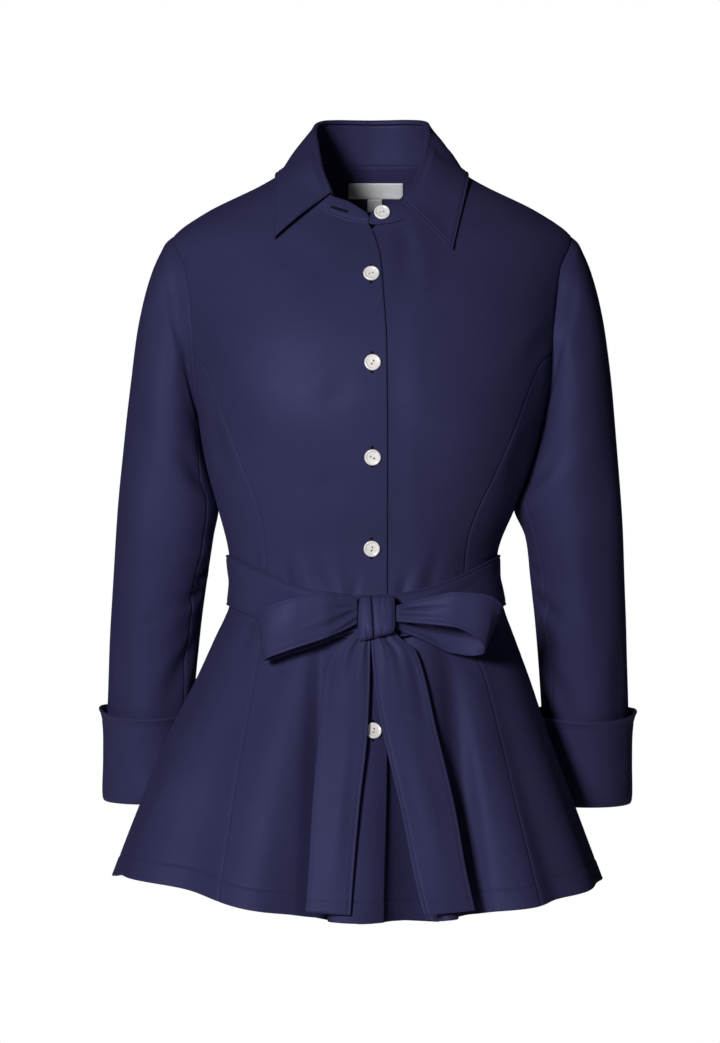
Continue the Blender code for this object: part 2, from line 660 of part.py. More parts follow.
def back_centre():
    def edge(side):
        def angle_at(z):
            if z > ARMHOLE_TOP_Z:
                angle = 90.0 + seam_step(90.0, z)
            elif z > SEAM_ROWS[0][0]:
                angle = armhole_angle(z, armhole_reach(z, 0.5 * SEAM_GAP), -1)
            else:
                seam = "back_right" if side < 0 else "back_left"
                angle = abs(back_angle(SEAMS.at(seam, z), z))
                angle += seam_step(angle, z)
            return angle if side > 0 else 360.0 - angle
        return angle_at

    heights = PANEL_HEIGHTS + CHEST_HEIGHTS + SHOULDER_HEIGHTS + BACK_NECK_HEIGHTS
    return panel_solid(heights, edge(1), edge(-1), BACK_COLUMNS)


SLEEVE = Table(SLEEVE_NAMES, SLEEVE_ROWS)


def sleeve_point(side, outer_z, turn, out=0.0, level=False):
    """Point of a sleeve's section: turn is 0 at its outer line, 90 at the front, 180 at the inner line."""
    name = "right" if side < 0 else "left"
    down = clamp((outer_z - ARMHOLE_TOP_Z) / (SLEEVE_ROWS[-1][0] - ARMHOLE_TOP_Z), 0.0, 1.2)
    swing = SLEEVE_SWING[name] * down
    inner_z = outer_z if level else SLEEVE.at("inner_z", outer_z)
    body_side = abs(body_surface(side * 90.0, inner_z).x)
    inner_x = SLEEVE.at("inner_x", outer_z) + swing
    if inner_z > WAIST_Z:
        inner_x = max(inner_x, body_side + SLEEVE_CLEARANCE)
    outer_x = SLEEVE.at("outer_x", outer_z) + swing
    half_depth = SLEEVE.at("half_depth", outer_z)
    around = math.radians(turn)
    middle = Vector((0.5 * (outer_x + inner_x), SLEEVE.at("centre_y", outer_z), 0.5 * (outer_z + inner_z)))
    reach = Vector((0.5 * (outer_x - inner_x), 0.0, 0.5 * (outer_z - inner_z)))
    point = middle + reach * math.cos(around) + Vector((0.0, -half_depth * math.sin(around), 0.0))
    sink = 0.0
    for angle, z, spread, height, depth in CREASE_ROWS:
        sink += depth * bump(turn, angle, spread) * math.exp(-0.5 * ((point.z - z) / height) ** 2)
    outward = Vector((reach.length * math.cos(around), -half_depth * math.sin(around), 0.0)).normalized()
    point += outward * (out - sink)
    point.x *= side
    return point


def armhole_ring(side, turn, grow):
    """Point of the armhole's edge on the body surface, with the surface's direction there."""
    around = math.radians(turn)
    middle = 0.5 * (ARMHOLE_TOP_Z + ARMHOLE_LOW_Z)
    half_height = 0.5 * (ARMHOLE_TOP_Z - ARMHOLE_LOW_Z) + grow
    z = middle + half_height * math.cos(around)
    reach = (ARMHOLE_HALF_DEPTH + grow) * abs(math.sin(around))
    facing = 1 if math.sin(around) >= 0.0 else -1
    angle = side * armhole_angle(z, reach, facing)
    return body_surface(angle, z), body_normal(angle, z)


def sleeve_row(side, index, turns):
    """Points of one row of the sleeve, from the armhole's edge at index 0 down to the cuff."""
    if index == 0:
        return [armhole_ring(side, turn, -SEAM_GAP)[0] for turn in turns]
    return [sleeve_point(side, SLEEVE_ROWS[index - 1][0], turn) for turn in turns]


def sleeve_normals(side, index, turns):
    """Outward directions of the sleeve's cloth along one of its rows."""
    if index == 0:
        return [armhole_ring(side, turn, -SEAM_GAP)[1] for turn in turns]
    ahead = sleeve_row(side, index, [turn + SLEEVE_NORMAL_STEP for turn in turns])
    behind = sleeve_row(side, index, [turn - SLEEVE_NORMAL_STEP for turn in turns])
    upper = sleeve_row(side, index - 1, turns)
    lower = sleeve_row(side, min(index + 1, len(SLEEVE_ROWS)), turns)
    return [(a - b).cross(low - up).normalized() * side for a, b, up, low in zip(ahead, behind, upper, lower)]


def sleeve_turns(piece):
    """Ring angles of the upper or the under sleeve, which meet the panels' rows along the armhole."""
    middle = 0.5 * (ARMHOLE_TOP_Z + ARMHOLE_LOW_Z)
    half_height = 0.5 * (ARMHOLE_TOP_Z - ARMHOLE_LOW_Z) - SEAM_GAP
    front = [math.degrees(math.acos((z - middle) / half_height)) for z in reversed(SIDE_HEIGHTS + CHEST_HEIGHTS)]
    front_seam = front[FRONT_SEAM_ROW]
    back_seam = -front[BACK_SEAM_ROW]
    if piece == "upper":
        turns = [-turn for turn in reversed(front)] + [0.0] + front
        first, last = back_seam, front_seam
    else:
        turns = front + [180.0] + [360.0 - turn for turn in reversed(front)]
        first, last = front_seam, 360.0 + back_seam
    inside = [turn for turn in turns if first + SLEEVE_SEAM_STEP < turn < last - SLEEVE_SEAM_STEP]
    return [first + SLEEVE_SEAM_STEP] + inside + [last - SLEEVE_SEAM_STEP]


def sleeve(side, piece):
    turns = sleeve_turns(piece)
    outer, inner = [], []
    for index in range(len(SLEEVE_ROWS) + 1):
        row = sleeve_row(side, index, turns)
        normals = sleeve_normals(side, index, turns)
        outer.append(row)
        inner.append([point - normal * CLOTH for point, normal in zip(row, normals)])
    return grid_solid(outer, inner)


def cuff(side):
    fold_z = CUFF_FOLD_Z["right" if side < 0 else "left"]
    rings = []
    for out, rise in CUFF_ROWS:
        ring = []
        for turn in CUFF_TURNS:
            dip = 1.0 - CUFF_RIM_DIP * max(0.0, math.sin(math.radians(turn))) * ease(rise / 0.06)
            point = sleeve_point(side, max(fold_z + rise, SLEEVE_ROWS[-1][0]), turn, out, level=True)
            point.z = fold_z + rise * dip
            ring.append(point)
        rings.append(ring)
    return lathe_solid(rings, ring=True)


def neck_point(neck_angle):
    """Point of the neckline on the body surface, round the neck from the centre front."""
    turn = math.radians(neck_angle)
    if abs(neck_angle) <= 90.0:
        z = NECK_SIDE_Z - NECK_FRONT_DROP * math.cos(turn)
        return body_surface(front_angle(NECK_HALF_WIDTH * math.sin(turn), z), z)
    return body_surface(neck_angle, NECK_SIDE_Z)


def collar_stations(side):
    """Stations of one side's collar, evenly spaced, from the back to the leaf's front end."""
    name = "right" if side < 0 else "left"
    table = Table(COLLAR_NAMES, COLLAR_ROWS[name])
    first, last = COLLAR_ROWS[name][0][0], COLLAR_ROWS[name][-1][0]
    stations = []
    for i in range(11):
        angle = first + (last - first) * i / 10
        read = {column: table.at(column, angle) for column in COLLAR_NAMES[1:]}
        roll = Vector((side * read["roll_x"], read["roll_y"], read["roll_z"]))
        edge = Vector((side * read["edge_x"], read["edge_y"], read["edge_z"]))
        stations.append((side * angle, roll, edge))
    return stations


def stand_columns():
    """Neckline point and top point of the stand at each station, from the right end to the left."""
    columns = []
    for side in (-1, 1):
        name = "right" if side < 0 else "left"
        half = []
        for angle, roll, edge in collar_stations(side):
            half.append((neck_point(angle), roll - Vector((0.0, 0.0, STAND_TOP_DROP))))
        lean = stand_end_lean(side)
        for angle, height in STAND_END_ROWS[name]:
            half.append((neck_point(side * angle), neck_point(side * angle) + lean * height))
        columns.append(half)
    return list(reversed(columns[0])) + columns[1][1:]


def stand_directions(low, up):
    """The stand's upward and outward directions over a point of the neckline."""
    away = Vector((low.x, low.y, 0.0)).normalized()
    return up, (away - up * away.dot(up)).normalized()


def stand_end_lean(side):
    """The direction in which the stand's front end rises."""
    angle, roll, edge = collar_stations(side)[-1]
    return (roll - Vector((0.0, 0.0, STAND_TOP_DROP)) - neck_point(angle)).normalized()


def collar_stand():
    outer, inner = [], []
    for low, top in stand_columns():
        up, out = stand_directions(low, (top - low).normalized())
        start = low + up * STAND_SEAT
        outer.append([start.lerp(top, i / STAND_STEPS) for i in range(STAND_STEPS + 1)])
        inner.append([point - out * CLOTH for point in outer[-1]])
    return grid_solid(outer, inner)


def nearest_on_body(point, folded=True):
    """Angle and height on the body surface that lie closest to a point."""
    cut = section(clamp(point.z, HEM_Z, NECK_SIDE_Z))
    depth = cut["front"] if point.y < 0.0 else cut["back"]
    angle = math.degrees(math.atan2((point.x - cut["shift"]) / cut["half_width"],
                                    -(point.y - cut["widest_y"]) / depth))
    z = clamp(point.z, HEM_Z, NECK_SIDE_Z)
    for _ in range(10):
        away = point - body_surface(angle, z, folded)
        across = body_surface(angle + 0.5, z, folded) - body_surface(angle - 0.5, z, folded)
        upward = (body_surface(angle, z + 0.001, folded) - body_surface(angle, z - 0.001, folded)) / 0.002
        matrix = Matrix(((across.dot(across), across.dot(upward)), (across.dot(upward), upward.dot(upward))))
        step = matrix.inverted_safe() @ Vector((away.dot(across), away.dot(upward)))
        angle += clamp(step.x, -6.0, 6.0)
        z = clamp(z + clamp(step.y, -0.015, 0.015), HEM_Z, NECK_SIDE_Z + 0.015)
    return angle, z


def clear_of_body(point, distance):
    """The point, moved out where it lies closer to the body surface than the distance."""
    angle, z = nearest_on_body(point)
    normal = body_normal(angle, z)
    height = (point - body_surface(angle, z)).dot(normal)
    return point + normal * max(0.0, distance - height)


def leaf_columns(roll, edge):
    """Upper and under face of the leaf at a station: over the fold and down to the edge."""
    away = Vector((roll.x, roll.y, 0.0)).normalized()
    upper, under = [], []
    for turn in LEAF_FOLD_TURNS:
        around = math.radians(turn)
        ray = Vector((0.0, 0.0, math.sin(around))) - away * math.cos(around)
        upper.append(roll + ray * LEAF_ROLL_RADIUS)
        under.append(roll + ray * (LEAF_ROLL_RADIUS - DOUBLE_CLOTH))
    start = roll + away * LEAF_ROLL_RADIUS
    fall = (edge - start).normalized()
    out = (away - fall * away.dot(fall)).normalized()
    for share in LEAF_FALL_SHARES:
        belly = LEAF_BELLY * math.sin(math.pi * share)
        point = clear_of_body(start.lerp(edge, share) + out * belly, LEAF_CLEARANCE)
        upper.append(point)
        under.append(point - out * DOUBLE_CLOTH)
    return upper, under


def collar_leaf():
    stations = list(reversed(collar_stations(-1))) + collar_stations(1)[1:]
    grids = [leaf_columns(roll, edge) for angle, roll, edge in stations]
    return grid_solid([upper for upper, under in grids], [under for upper, under in grids])


def sash_point(angle, share, out):
    """Point of the sash round the waist: share 0 at its lower edge and 1 at its upper one."""
    front = max(0.0, math.cos(math.radians(angle))) ** SASH_DROP_POWER
    middle = SASH_SIDE_Z - SASH_FRONT_DROP * front
    height = SASH_HEIGHT - SASH_GATHER * front
    return body_point(angle, middle + height * (share - 0.5), out)


def sash():
    angles = [360.0 * j / SASH_COLUMNS for j in range(SASH_COLUMNS)]
    shares = [i / SASH_STEPS for i in range(SASH_STEPS + 1)]
    inner = [[sash_point(angle, share, SASH_CLEARANCE) for angle in angles] for share in shares]
    out = SASH_CLEARANCE + DOUBLE_CLOTH
    outer = [[sash_point(angle, share, out) for angle in angles] for share in shares]
    return grid_solid(outer, inner, ring=True)


def knot():
    rings = []
    for z, half_width, half_depth in KNOT_ROWS:
        ring = []
        for turn in range(0, 360, KNOT_STEP):
            around = math.radians(turn)
            across = math.copysign(abs(math.sin(around)) ** KNOT_SQUARENESS, math.sin(around))
            along = math.copysign(abs(math.cos(around)) ** KNOT_SQUARENESS, math.cos(around))
            x = half_width * across
            groove = KNOT_GROOVE_DEPTH * math.exp(-((x - KNOT_GROOVE_X) / KNOT_GROOVE_WIDTH) ** 2)
            depth = half_depth - (groove if along > 0.0 else 0.0)
            ring.append(Vector((KNOT_X + x, KNOT_Y + KNOT_TILT * z - depth * along, KNOT_Z + z)))
        rings.append(ring)
    return lathe_solid(rings)


def strip_solid(rows, thickness):
    """Wall behind a grid of points, its thickness square to the grid."""
    back = []
    for i, row in enumerate(rows):
        below = rows[max(i - 1, 0)]
        above = rows[min(i + 1, len(rows) - 1)]
        back_row = []
        for j, point in enumerate(row):
            across = row[min(j + 1, len(row) - 1)] - row[max(j - 1, 0)]
            along = above[j] - below[j]
            back_row.append(point - along.cross(across).normalized() * thickness)
        back.append(back_row)
    return grid_solid(rows, back)


def loop(side):
    name = "right" if side < 0 else "left"
    rows = LOOP_ROWS[name]
    table = Table(("station",) + LOOP_NAMES, [(float(i),) + row for i, row in enumerate(rows)])
    grid = []
    for i in range(LOOP_STATIONS + 1):
        station = (len(rows) - 1) * i / LOOP_STATIONS
        top = Vector([table.at("top_" + axis, station) for axis in "xyz"])
        low = Vector([table.at("low_" + axis, station) for axis in "xyz"])
        facing = -1.0 if station < 0.5 * len(rows) else 1.0
        row = []
        for share in LOOP_SHARES:
            belly = LOOP_BELLY * math.sin(math.pi * share) * math.sin(math.pi * i / LOOP_STATIONS) ** 2
            point = top.lerp(low, share) + Vector((0.0, facing * belly, 0.0))
            row.append(clear_of_body(point, LOOP_CLEARANCE))
        grid.append(row)
    if side > 0:
        grid = [list(reversed(row)) for row in grid]
    return strip_solid(grid, DOUBLE_CLOTH)


def tail(side):
    name = "right" if side < 0 else "left"
    table = Table(TAIL_NAMES, TAIL_ROWS[name])
    top, low = TAIL_ROWS[name][0][0], TAIL_ROWS[name][-1][0]
    rows = []
    for i in range(TAIL_STATIONS + 1):
        z = top + (low - top) * i / TAIL_STATIONS
        row = []
        for share in TAIL_SHARES:
            x = table.at("right_x", z) * (1.0 - share) + table.at("left_x", z) * share
            angle = front_angle(x, z)
            lift = table.at("lift", z) + TAIL_BELLY * math.sin(math.pi * share)
            row.append(body_surface(angle, z, folded=False) + body_normal(angle, z) * lift)
        rows.append(list(reversed(row)))
    return strip_solid(rows, DOUBLE_CLOTH)


def label_solid(x_range, z_range, columns):
    """Thin cloth on the inner face of the back panel."""
    outer, inner = [], []
    for z in z_range:
        outer_row, inner_row = [], []
        for j in range(columns + 1):
            x = x_range[0] + (x_range[1] - x_range[0]) * j / columns
            angle = back_angle(x, z)
            outer_row.append(body_point(angle, z, -CLOTH - LABEL_CLEARANCE))
            inner_row.append(body_point(angle, z, -CLOTH - LABEL_CLEARANCE - LABEL_THICKNESS))
        outer.append(outer_row)
        inner.append(inner_row)
    return grid_solid(outer, inner)


def button_mesh():
    """Dished disc with two holes, its back at z 0."""
    rings = []
    for radius, height in BUTTON_PROFILE:
        ring = []
        for j in range(BUTTON_SEGMENTS):
            around = math.tau * j / BUTTON_SEGMENTS
            ring.append(Vector((radius * math.cos(around), radius * math.sin(around), height)))
        rings.append(ring)
    return lathe_solid(rings)


def add_button(name, place, normal, turn, material, collection, cutters):
    button = add_piece(name, button_mesh(), material, collection)
    rotation = normal.to_track_quat("Z", "Y").to_matrix().to_4x4()
    button.matrix_world = Matrix.Translation(place) @ rotation @ Matrix.Rotation(math.radians(turn), 4, "Z")
    for sign in (-1.0, 1.0):
        hole = bmesh.new()
        bmesh.ops.create_cone(hole, cap_ends=True, segments=BUTTON_HOLE_SEGMENTS, radius1=BUTTON_HOLE_RADIUS,
                              radius2=BUTTON_HOLE_RADIUS, depth=BUTTON_HOLE_DEPTH)
        cutter = add_piece(name + ("_hole_a" if sign < 0 else "_hole_b"), hole, material, cutters)
        cutter.hide_render = True
        cutter.display_type = "WIRE"
        cutter.matrix_world = button.matrix_world @ Matrix.Translation((sign * BUTTON_HOLE_OFFSET, 0.0, 0.0))
        cut = button.modifiers.new("hole", "BOOLEAN")
        cut.operation = "DIFFERENCE"
        cut.object = cutter


def add_buttons(material, collection, cutters):
    for name, x, z, turn, seat in BUTTON_ROWS:
        angle = front_angle(x, z)
        place = body_point(angle, z, seat)
        add_button(name, place, body_normal(angle, z), turn, material, collection, cutters)
    low = neck_point(STAND_BUTTON_ANGLE)
    lean, out = stand_directions(low, stand_end_lean(1))
    place = low + lean * STAND_BUTTON_HEIGHT + out * STAND_BUTTON_SEAT
    add_button("button_stand", place, out, 15.0, material, collection, cutters)


def main():
    for item in list(bpy.data.objects):
        bpy.data.objects.remove(item, do_unlink=True)
    collection = bpy.data.collections.new(NAME)
    cutters = bpy.data.collections.new(NAME + "_cutters")
    bpy.context.scene.collection.children.link(collection)
    bpy.context.scene.collection.children.link(cutters)
    navy = make_material("navy_sateen", NAVY, 0.62)
    navy_double = make_material("navy_sateen_double", NAVY_DOUBLE, 0.60)
    pearl = make_material("pearl_button", PEARL, 0.30)
    white = make_material("label_white", LABEL_WHITE, 0.70)
    for side, name in ((-1, "right"), (1, "left")):
        add_piece("front_centre_" + name, front_centre(side), navy, collection)
        add_piece("front_side_" + name, side_panel(side, 1), navy, collection)
        add_piece("back_side_" + name, side_panel(side, -1), navy, collection)
        add_piece("sleeve_upper_" + name, sleeve(side, "upper"), navy, collection)
        add_piece("sleeve_under_" + name, sleeve(side, "under"), navy, collection)
        add_piece("cuff_" + name, cuff(side), navy_double, collection)
        add_piece("loop_" + name, loop(side), navy_double, collection)
        add_piece("tail_" + name, tail(side), navy_double, collection)
    add_piece("back_centre", back_centre(), navy, collection)
    add_piece("collar_stand", collar_stand(), navy_double, collection)
    add_piece("collar_leaf", collar_leaf(), navy_double, collection)
    add_piece("belt", sash(), navy_double, collection)
    add_piece("knot", knot(), navy_double, collection)
    add_piece("label", label_solid(LABEL_X, LABEL_Z, 6), white, collection)
    add_piece("size_tab", label_solid(TAB_X, TAB_Z, 2), white, collection)
    add_buttons(pearl, collection, cutters)


main()
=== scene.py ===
"""Looks of the belted peplum blouse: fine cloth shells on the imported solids' forms, in metres.

+X is the wearer's left, +Y the back and +Z up; "right" and "left" in names are the wearer's. The body
function, the seams and the sections repeat the part's own, so each shell lies where its solid lies.
Angles go round the body in degrees: 0 at the centre front and 90 at the left side.
"""
import math

import bmesh
import bpy
import numpy as np
from mathutils import Matrix, Vector
from mathutils.bvhtree import BVHTree


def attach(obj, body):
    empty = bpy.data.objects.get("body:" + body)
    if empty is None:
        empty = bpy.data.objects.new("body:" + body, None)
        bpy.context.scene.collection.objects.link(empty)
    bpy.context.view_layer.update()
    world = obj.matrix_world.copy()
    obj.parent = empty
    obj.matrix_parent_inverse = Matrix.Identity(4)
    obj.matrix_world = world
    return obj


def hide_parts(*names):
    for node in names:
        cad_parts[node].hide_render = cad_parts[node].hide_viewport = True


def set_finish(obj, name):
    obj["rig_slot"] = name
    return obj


def rows_of(units, text):
    """Rows of numbers, parted by semicolons; a column with the unit m is given in millimetres."""
    return [tuple(float(word) / (1000.0 if unit == "m" else 1.0) for word, unit in zip(row.split(), units))
            for row in text.split(";")]


SIDES = {-1: "right", 1: "left"}
LEVEL = np.array((1.0, 1.0, 0.0))  # drops a point's height

# Cloth and sewing
CLOTH = 0.0015  # thickness of the cloth wall
DOUBLE_CLOTH = 0.0018  # thickness of doubled pieces: collar, cuffs and sash
LAP_DEPTH = CLOTH + 0.0005  # how far the under front lies behind the upper one

# Heights, from the base of the neck
NECK_SIDE_Z = 0.008
NECK_HALF_WIDTH = 0.073
NECK_FRONT_DROP = 0.063  # from the neck's side down to the centre front
NECK_BACK_RISE = 0.008  # from the neck's side up to the centre back
WAIST_Z = -0.4  # where the peplum starts to flare
HEM_Z = -0.664
HEM_DROP_FRONT = 0.018
HEM_DROP_BACK = 0.006
HEM_DROP_POWER = 1.5  # how late the drop comes on below the waist
NECK_RISE_FROM_Z = -0.04
NECK_RISE_HEIGHT = 0.048
# Where the hem hangs higher: angle, spread, rise
HEM_LIFT_ROWS = rows_of("--m", """
    -62 17 14; -36 16 9.5; 66 20 4.5""")

# Armholes, ovals seen from the side
ARMHOLE_TOP_Z = -0.059
ARMHOLE_LOW_Z = -0.245
ARMHOLE_HALF_DEPTH = 0.047
ARMHOLE_MIDDLE_Z = 0.5 * (ARMHOLE_TOP_Z + ARMHOLE_LOW_Z)
ARMHOLE_HALF_HEIGHT = 0.5 * (ARMHOLE_TOP_Z - ARMHOLE_LOW_Z)

# Bust, shaped by the princess seams
BUST_Z = -0.215
BUST_RISE = 0.048
BUST_ANGLE = 36.0
BUST_SPREAD = 20.0
BUST_DEPTH = 0.006

# The hollow that each arm presses into the peplum's side
DENT_ANGLE = 112.0
DENT_SPREAD = 12.0

BODY_NAMES = ("z", "half_width", "front", "back", "power", "shift", "widest_y", "arm_dent")
BODY_ROWS = rows_of("mmmm-mmm", """
    30 45 40 56 2 0 0 0; 8 73 50 66 2 0 0 0; -10.5 103 56 78 2 0 0 0; -37 157 65 92 2 0 0 0;
    -59 188 75.5 102 2.02 0 0 0; -95 189.5 95 110 2.08 0 0 0; -125 184.5 109 113 2.15 0 0 0;
    -152 180 119 114.5 2.2 0 0 0; -191.5 173 127 113 2.2 -.5 0 0; -234 164 128.5 109 2.2 -1 0 0;
    -275 154.5 122 103 2.2 -3 0 0; -316 141 110 95 2.2 -5.4 0 0; -360 127.5 99 87 2.2 -8.4 0 0;
    -409 130 100 89 2.15 -5.5 0 0; -440 142 111 100 2.1 -7 -6 0; -481 158.7 128 116 2.05 -8.6 -18 4;
    -520 176 145 133 2 -11.9 -30 17; -560 192.5 161 149 2 -13 -38 28; -600 208 177 165 2 -13.5 -42 37;
    -664 232 203 190 2 -13.6 -45 34""")

# Soft folds of the peplum at its hem: angle, spread, depth (outward positive)
FOLD_ROWS = rows_of("--m", """
    -73 6 -4; -57 7 9; -42 5.5 -6; -26 6 8; -14 3.8 -13; -1 6 6; 10.5 3.6 -15; 19.5 4.5 7; 30.5 4 -10;
    41.5 5.5 9; 49.5 3.5 -4; 60 6.5 7; 75 6 -4; 134 7 9; 149 6 -8; 165 7 9; 181 6 -9; -163 6.5 8; -149 6.5 -8;
    -134 6.5 9""")

FOLD_POWER = 1.3

# Seam lines, as distances from the middle plane at each height
SEAM_NAMES = ("z", "front_right", "front_left", "back_right", "back_left")
SEAM_ROWS = rows_of("mmmmm", """
    -170 -165 163 -162.5 161.5; -200 -146.5 146 -142 141; -252 -128 126 -118 117; -290 -114.5 111 -103 98;
    -323 -103.5 96 -91 83; -350 -100 88 -85 71; -400 -99 85 -83 71; -442 -102.8 92 -88 75;
    -475 -108.7 104 -95 80; -586 -125.8 128 -118 98; -666 -135 145 -135 112""")
SEAM_TOP_Z = SEAM_ROWS[0][0]

# Front edges at the closure; both fold back a little at the open neck
EDGE_NAMES = ("z", "upper", "under")
EDGE_ROWS = rows_of("mmm", """
    -55 -3.5 1.5; -66 1.5 -2; -88 7 -7; -128 10 -11; -166 12.2 -13; -275 13 -13; -535 13.4 -13;
    -664 9.5 -13""")
HEM_LAP_DEPTH = 0.0022  # and how much further behind it lies at the hem
LAP_FULL_X = 0.018  # the under front lies fully behind up to here
LAP_END_X = 0.042  # and is back on the body's surface here

# Sleeve sections: the outer and the inner line of each ring, seen from the front
SLEEVE_NAMES = ("outer_z", "outer_x", "inner_z", "inner_x", "half_depth", "centre_y")
SLEEVE_ROWS = rows_of("mmmmmm", """
    -68 196 -243.5 169 49 0; -84 204.5 -247.5 171.5 53 0; -108 213 -256 170.5 55.5 1;
    -140 220.5 -268.5 167 57 2; -180 226.2 -283 159 57.5 3; -225 231.2 -298 152 57 5;
    -272 235.7 -317 144 56 7;
    -322 240.2 -344 145.5 54.5 11; -375 244 -386 153 52.5 18; -428 247.2 -433 160.5 50.5 26;
    -475 249.4 -477 165.2 49.5 34; -515 251 -515 168 49 40; -560 252 -560 169.5 48.8 44;
    -592.5 252.5 -592.5 170 48.7 46""")
SLEEVE_END_Z = SLEEVE_ROWS[-1][0]
SLEEVE_CLEARANCE = 0.0014  # between a sleeve and the side that it hangs against
SLEEVE_SWING = {"right": 0.0045, "left": -0.0045}  # how far each sleeve's end stands out

# Elbow creases of each sleeve: ring angle, height, spread round, spread up, how far the cloth sinks
CREASE_ROWS = rows_of("-m-mm", """
    150 -372 40 10 4.5; 120 -400 34 9 3.5; 205 -350 36 11 4; 60 -385 26 10 2""")

# Cuff section, turned up round the sleeve's end: distance out from the sleeve, height over the fold
CUFF_ROWS = rows_of("mm", """
    8.4 89.5; 6.8 91; 4.6 86; 2.2 70; 1.4 40; 1.4 4.5; -2 2.8; -3 14; -4.6 14; -4.4 2; -2.2 .4; 1.4 0; 3 3;
    3.3 40; 4.1 70; 6.4 85""")
CUFF_FOLD_Z = {"right": -0.5985, "left": -0.6015}
CUFF_RIM_DIP = 0.1  # share of its height that the cuff's rim dips at the front

# Collar stations from the centre back to the front, a set for each side
COLLAR_NAMES = ("neck_angle", "roll_x", "roll_y", "roll_z", "edge_x", "edge_y", "edge_z")
COLLAR_ROWS = {
    "right": rows_of("-mmmmmm", """
        180 0 56 56 0 85 6; 158 24 53 56 35 79 5; 136 43.5 40 54 66 58 2.5; 114 53 20 48 83 30 0;
        92 54.5 1 39 88 1 -2; 72 52 -19 23 89 -26 -12; 54 47.5 -39 0 90.5 -52 -33;
        36 38 -58.5 -25 91.6 -79 -68.5"""),
    "left": rows_of("-mmmmmm", """
        180 0 56 56 0 85 6; 158 24 53 56 35 79 5; 136 43.5 40 54 66 58 2.5; 114 52.5 20 49 83 30 0;
        92 53 1 40 88.5 1 -1; 70 49 -22 16 87 -28 -15; 48 41 -45 -12 82 -56 -43;
        26 26.5 -63 -33 73.5 -85.5 -80"""),
}
# Top edge of each stand's front end, past the leaf: neck angle, height over the neckline
STAND_END_ROWS = {
    "right": rows_of("-m", """
        24 19.5; 14 16; 6 10.5; 2.7 3.5"""),
    "left": rows_of("-m", """
        16 18.5; 7 16.5; 2 11; -1.5 3.5"""),
}
LEAF_ROLL_RADIUS = 0.0029  # half the leaf's fold over the stand
STAND_TOP_DROP = 0.0025  # from the fold's middle down to the stand's top edge
LEAF_BELLY = 0.003  # how far the leaf bulges between its fold and its edge
LEAF_CLEARANCE = DOUBLE_CLOTH + 0.0022

# Sash round the waist
SASH_SIDE_Z = -0.3855
SASH_FRONT_DROP = 0.0315
SASH_DROP_POWER = 2.4
SASH_HEIGHT = 0.047
SASH_GATHER = 0.009  # how much narrower it is where it enters the knot
SASH_CLEARANCE = 0.0014

# Knot, a barrel of wrapped sash
KNOT_X = 0.0038
KNOT_Y = -0.1156
KNOT_Z = -0.416
KNOT_TILT = 0.27  # how far its lower end stands forward, for each metre of height
# Its rings: height, half width, half depth
KNOT_ROWS = rows_of("mmm", """
    18 12.8 5; 16.5 14.8 7.5; 10 16.8 9.2; 0 17.2 9.8; -10 16.8 9.2; -16.5 14.6 7.2; -18 12.6 4.8""")
KNOT_GROOVE_X = -0.0033  # the vertical fold, from the knot's middle
KNOT_GROOVE_DEPTH = 0.0016
KNOT_GROOVE_WIDTH = 0.0022

# Bow loops: upper and lower edge of the sash from the knot, round the tip and back to the knot
LOOP_NAMES = ("top_x", "top_y", "top_z", "low_x", "low_y", "low_z")
LOOP_ROWS = {
    "right": rows_of("mmmmmm", """
        -13.8 -121.5 -399 -13.8 -121.5 -422; -30 -126.5 -395.5 -30 -127.5 -430;
        -45 -130 -393.8 -45.5 -132 -436;
        -69.5 -130.5 -398.3 -70 -133 -444; -96 -124 -406.4 -95 -127 -453; -105.5 -115 -411 -99 -116 -456;
        -95 -107 -408.5 -90 -106 -456; -69.5 -105.5 -404 -69.5 -105 -452; -45 -107 -401 -46 -107 -443;
        -13.8 -112 -401 -13.8 -112 -429"""),
    "left": rows_of("mmmmmm", """
        21.4 -121 -406.4 21.4 -121 -420.4; 37.3 -128 -401.9 37.3 -128.5 -421.3; 57.2 -134 -397 57.2 -135 -423;
        73.8 -136 -393.8 73.8 -137 -425; 95 -134 -395 93 -134 -434; 111 -127 -400 102 -125 -444;
        118.5 -117 -407.5 101 -114 -450; 105 -109 -406 90 -107 -452; 73.8 -106 -403 72.5 -105.5 -449.5;
        45 -107 -404 44 -107 -438; 21.4 -111.5 -408 21.4 -111.5 -427"""),
}
LOOP_BELLY = 0.002  # how far the loop's cloth bulges between its edges
LOOP_CLEARANCE = 0.005

# Sash tails, lying on the peplum's front: their two edges and their distance out from it
TAIL_NAMES = ("z", "right_x", "left_x", "lift")
TAIL_ROWS = {
    "right": rows_of("mmmm", """
        -429 -12.5 -1.8 9.2; -437.5 -21.5 -2.2 8.8; -448 -33 -2.6 8; -473 -42.1 -3 8.5; -521.4 -47.2 -5.6 9;
        -571.8 -51.9 -11.8 9.5; -630.3 -55.5 -17.6 10; -660 -57.8 -19.8 10"""),
    "left": rows_of("mmmm", """
        -429 -1.5 16.5 9.2; -437.5 -1.2 23.5 8.8; -448 -.6 37 8; -473 1.6 45.5 8.5; -510 7.5 53.5 9;
        -535.3 13.4 59.7 9.5; -581.1 25 70.7 10; -628.6 35.1 79.2 10.5; -661 43.5 86.5 11"""),
}
TAIL_BELLY = 0.001  # how far each tail bulges between its edges

# Buttons: two-hole, shallow dished. Their holes
BUTTON_HOLE_RADIUS = 0.0009
BUTTON_HOLE_OFFSET = 0.0016
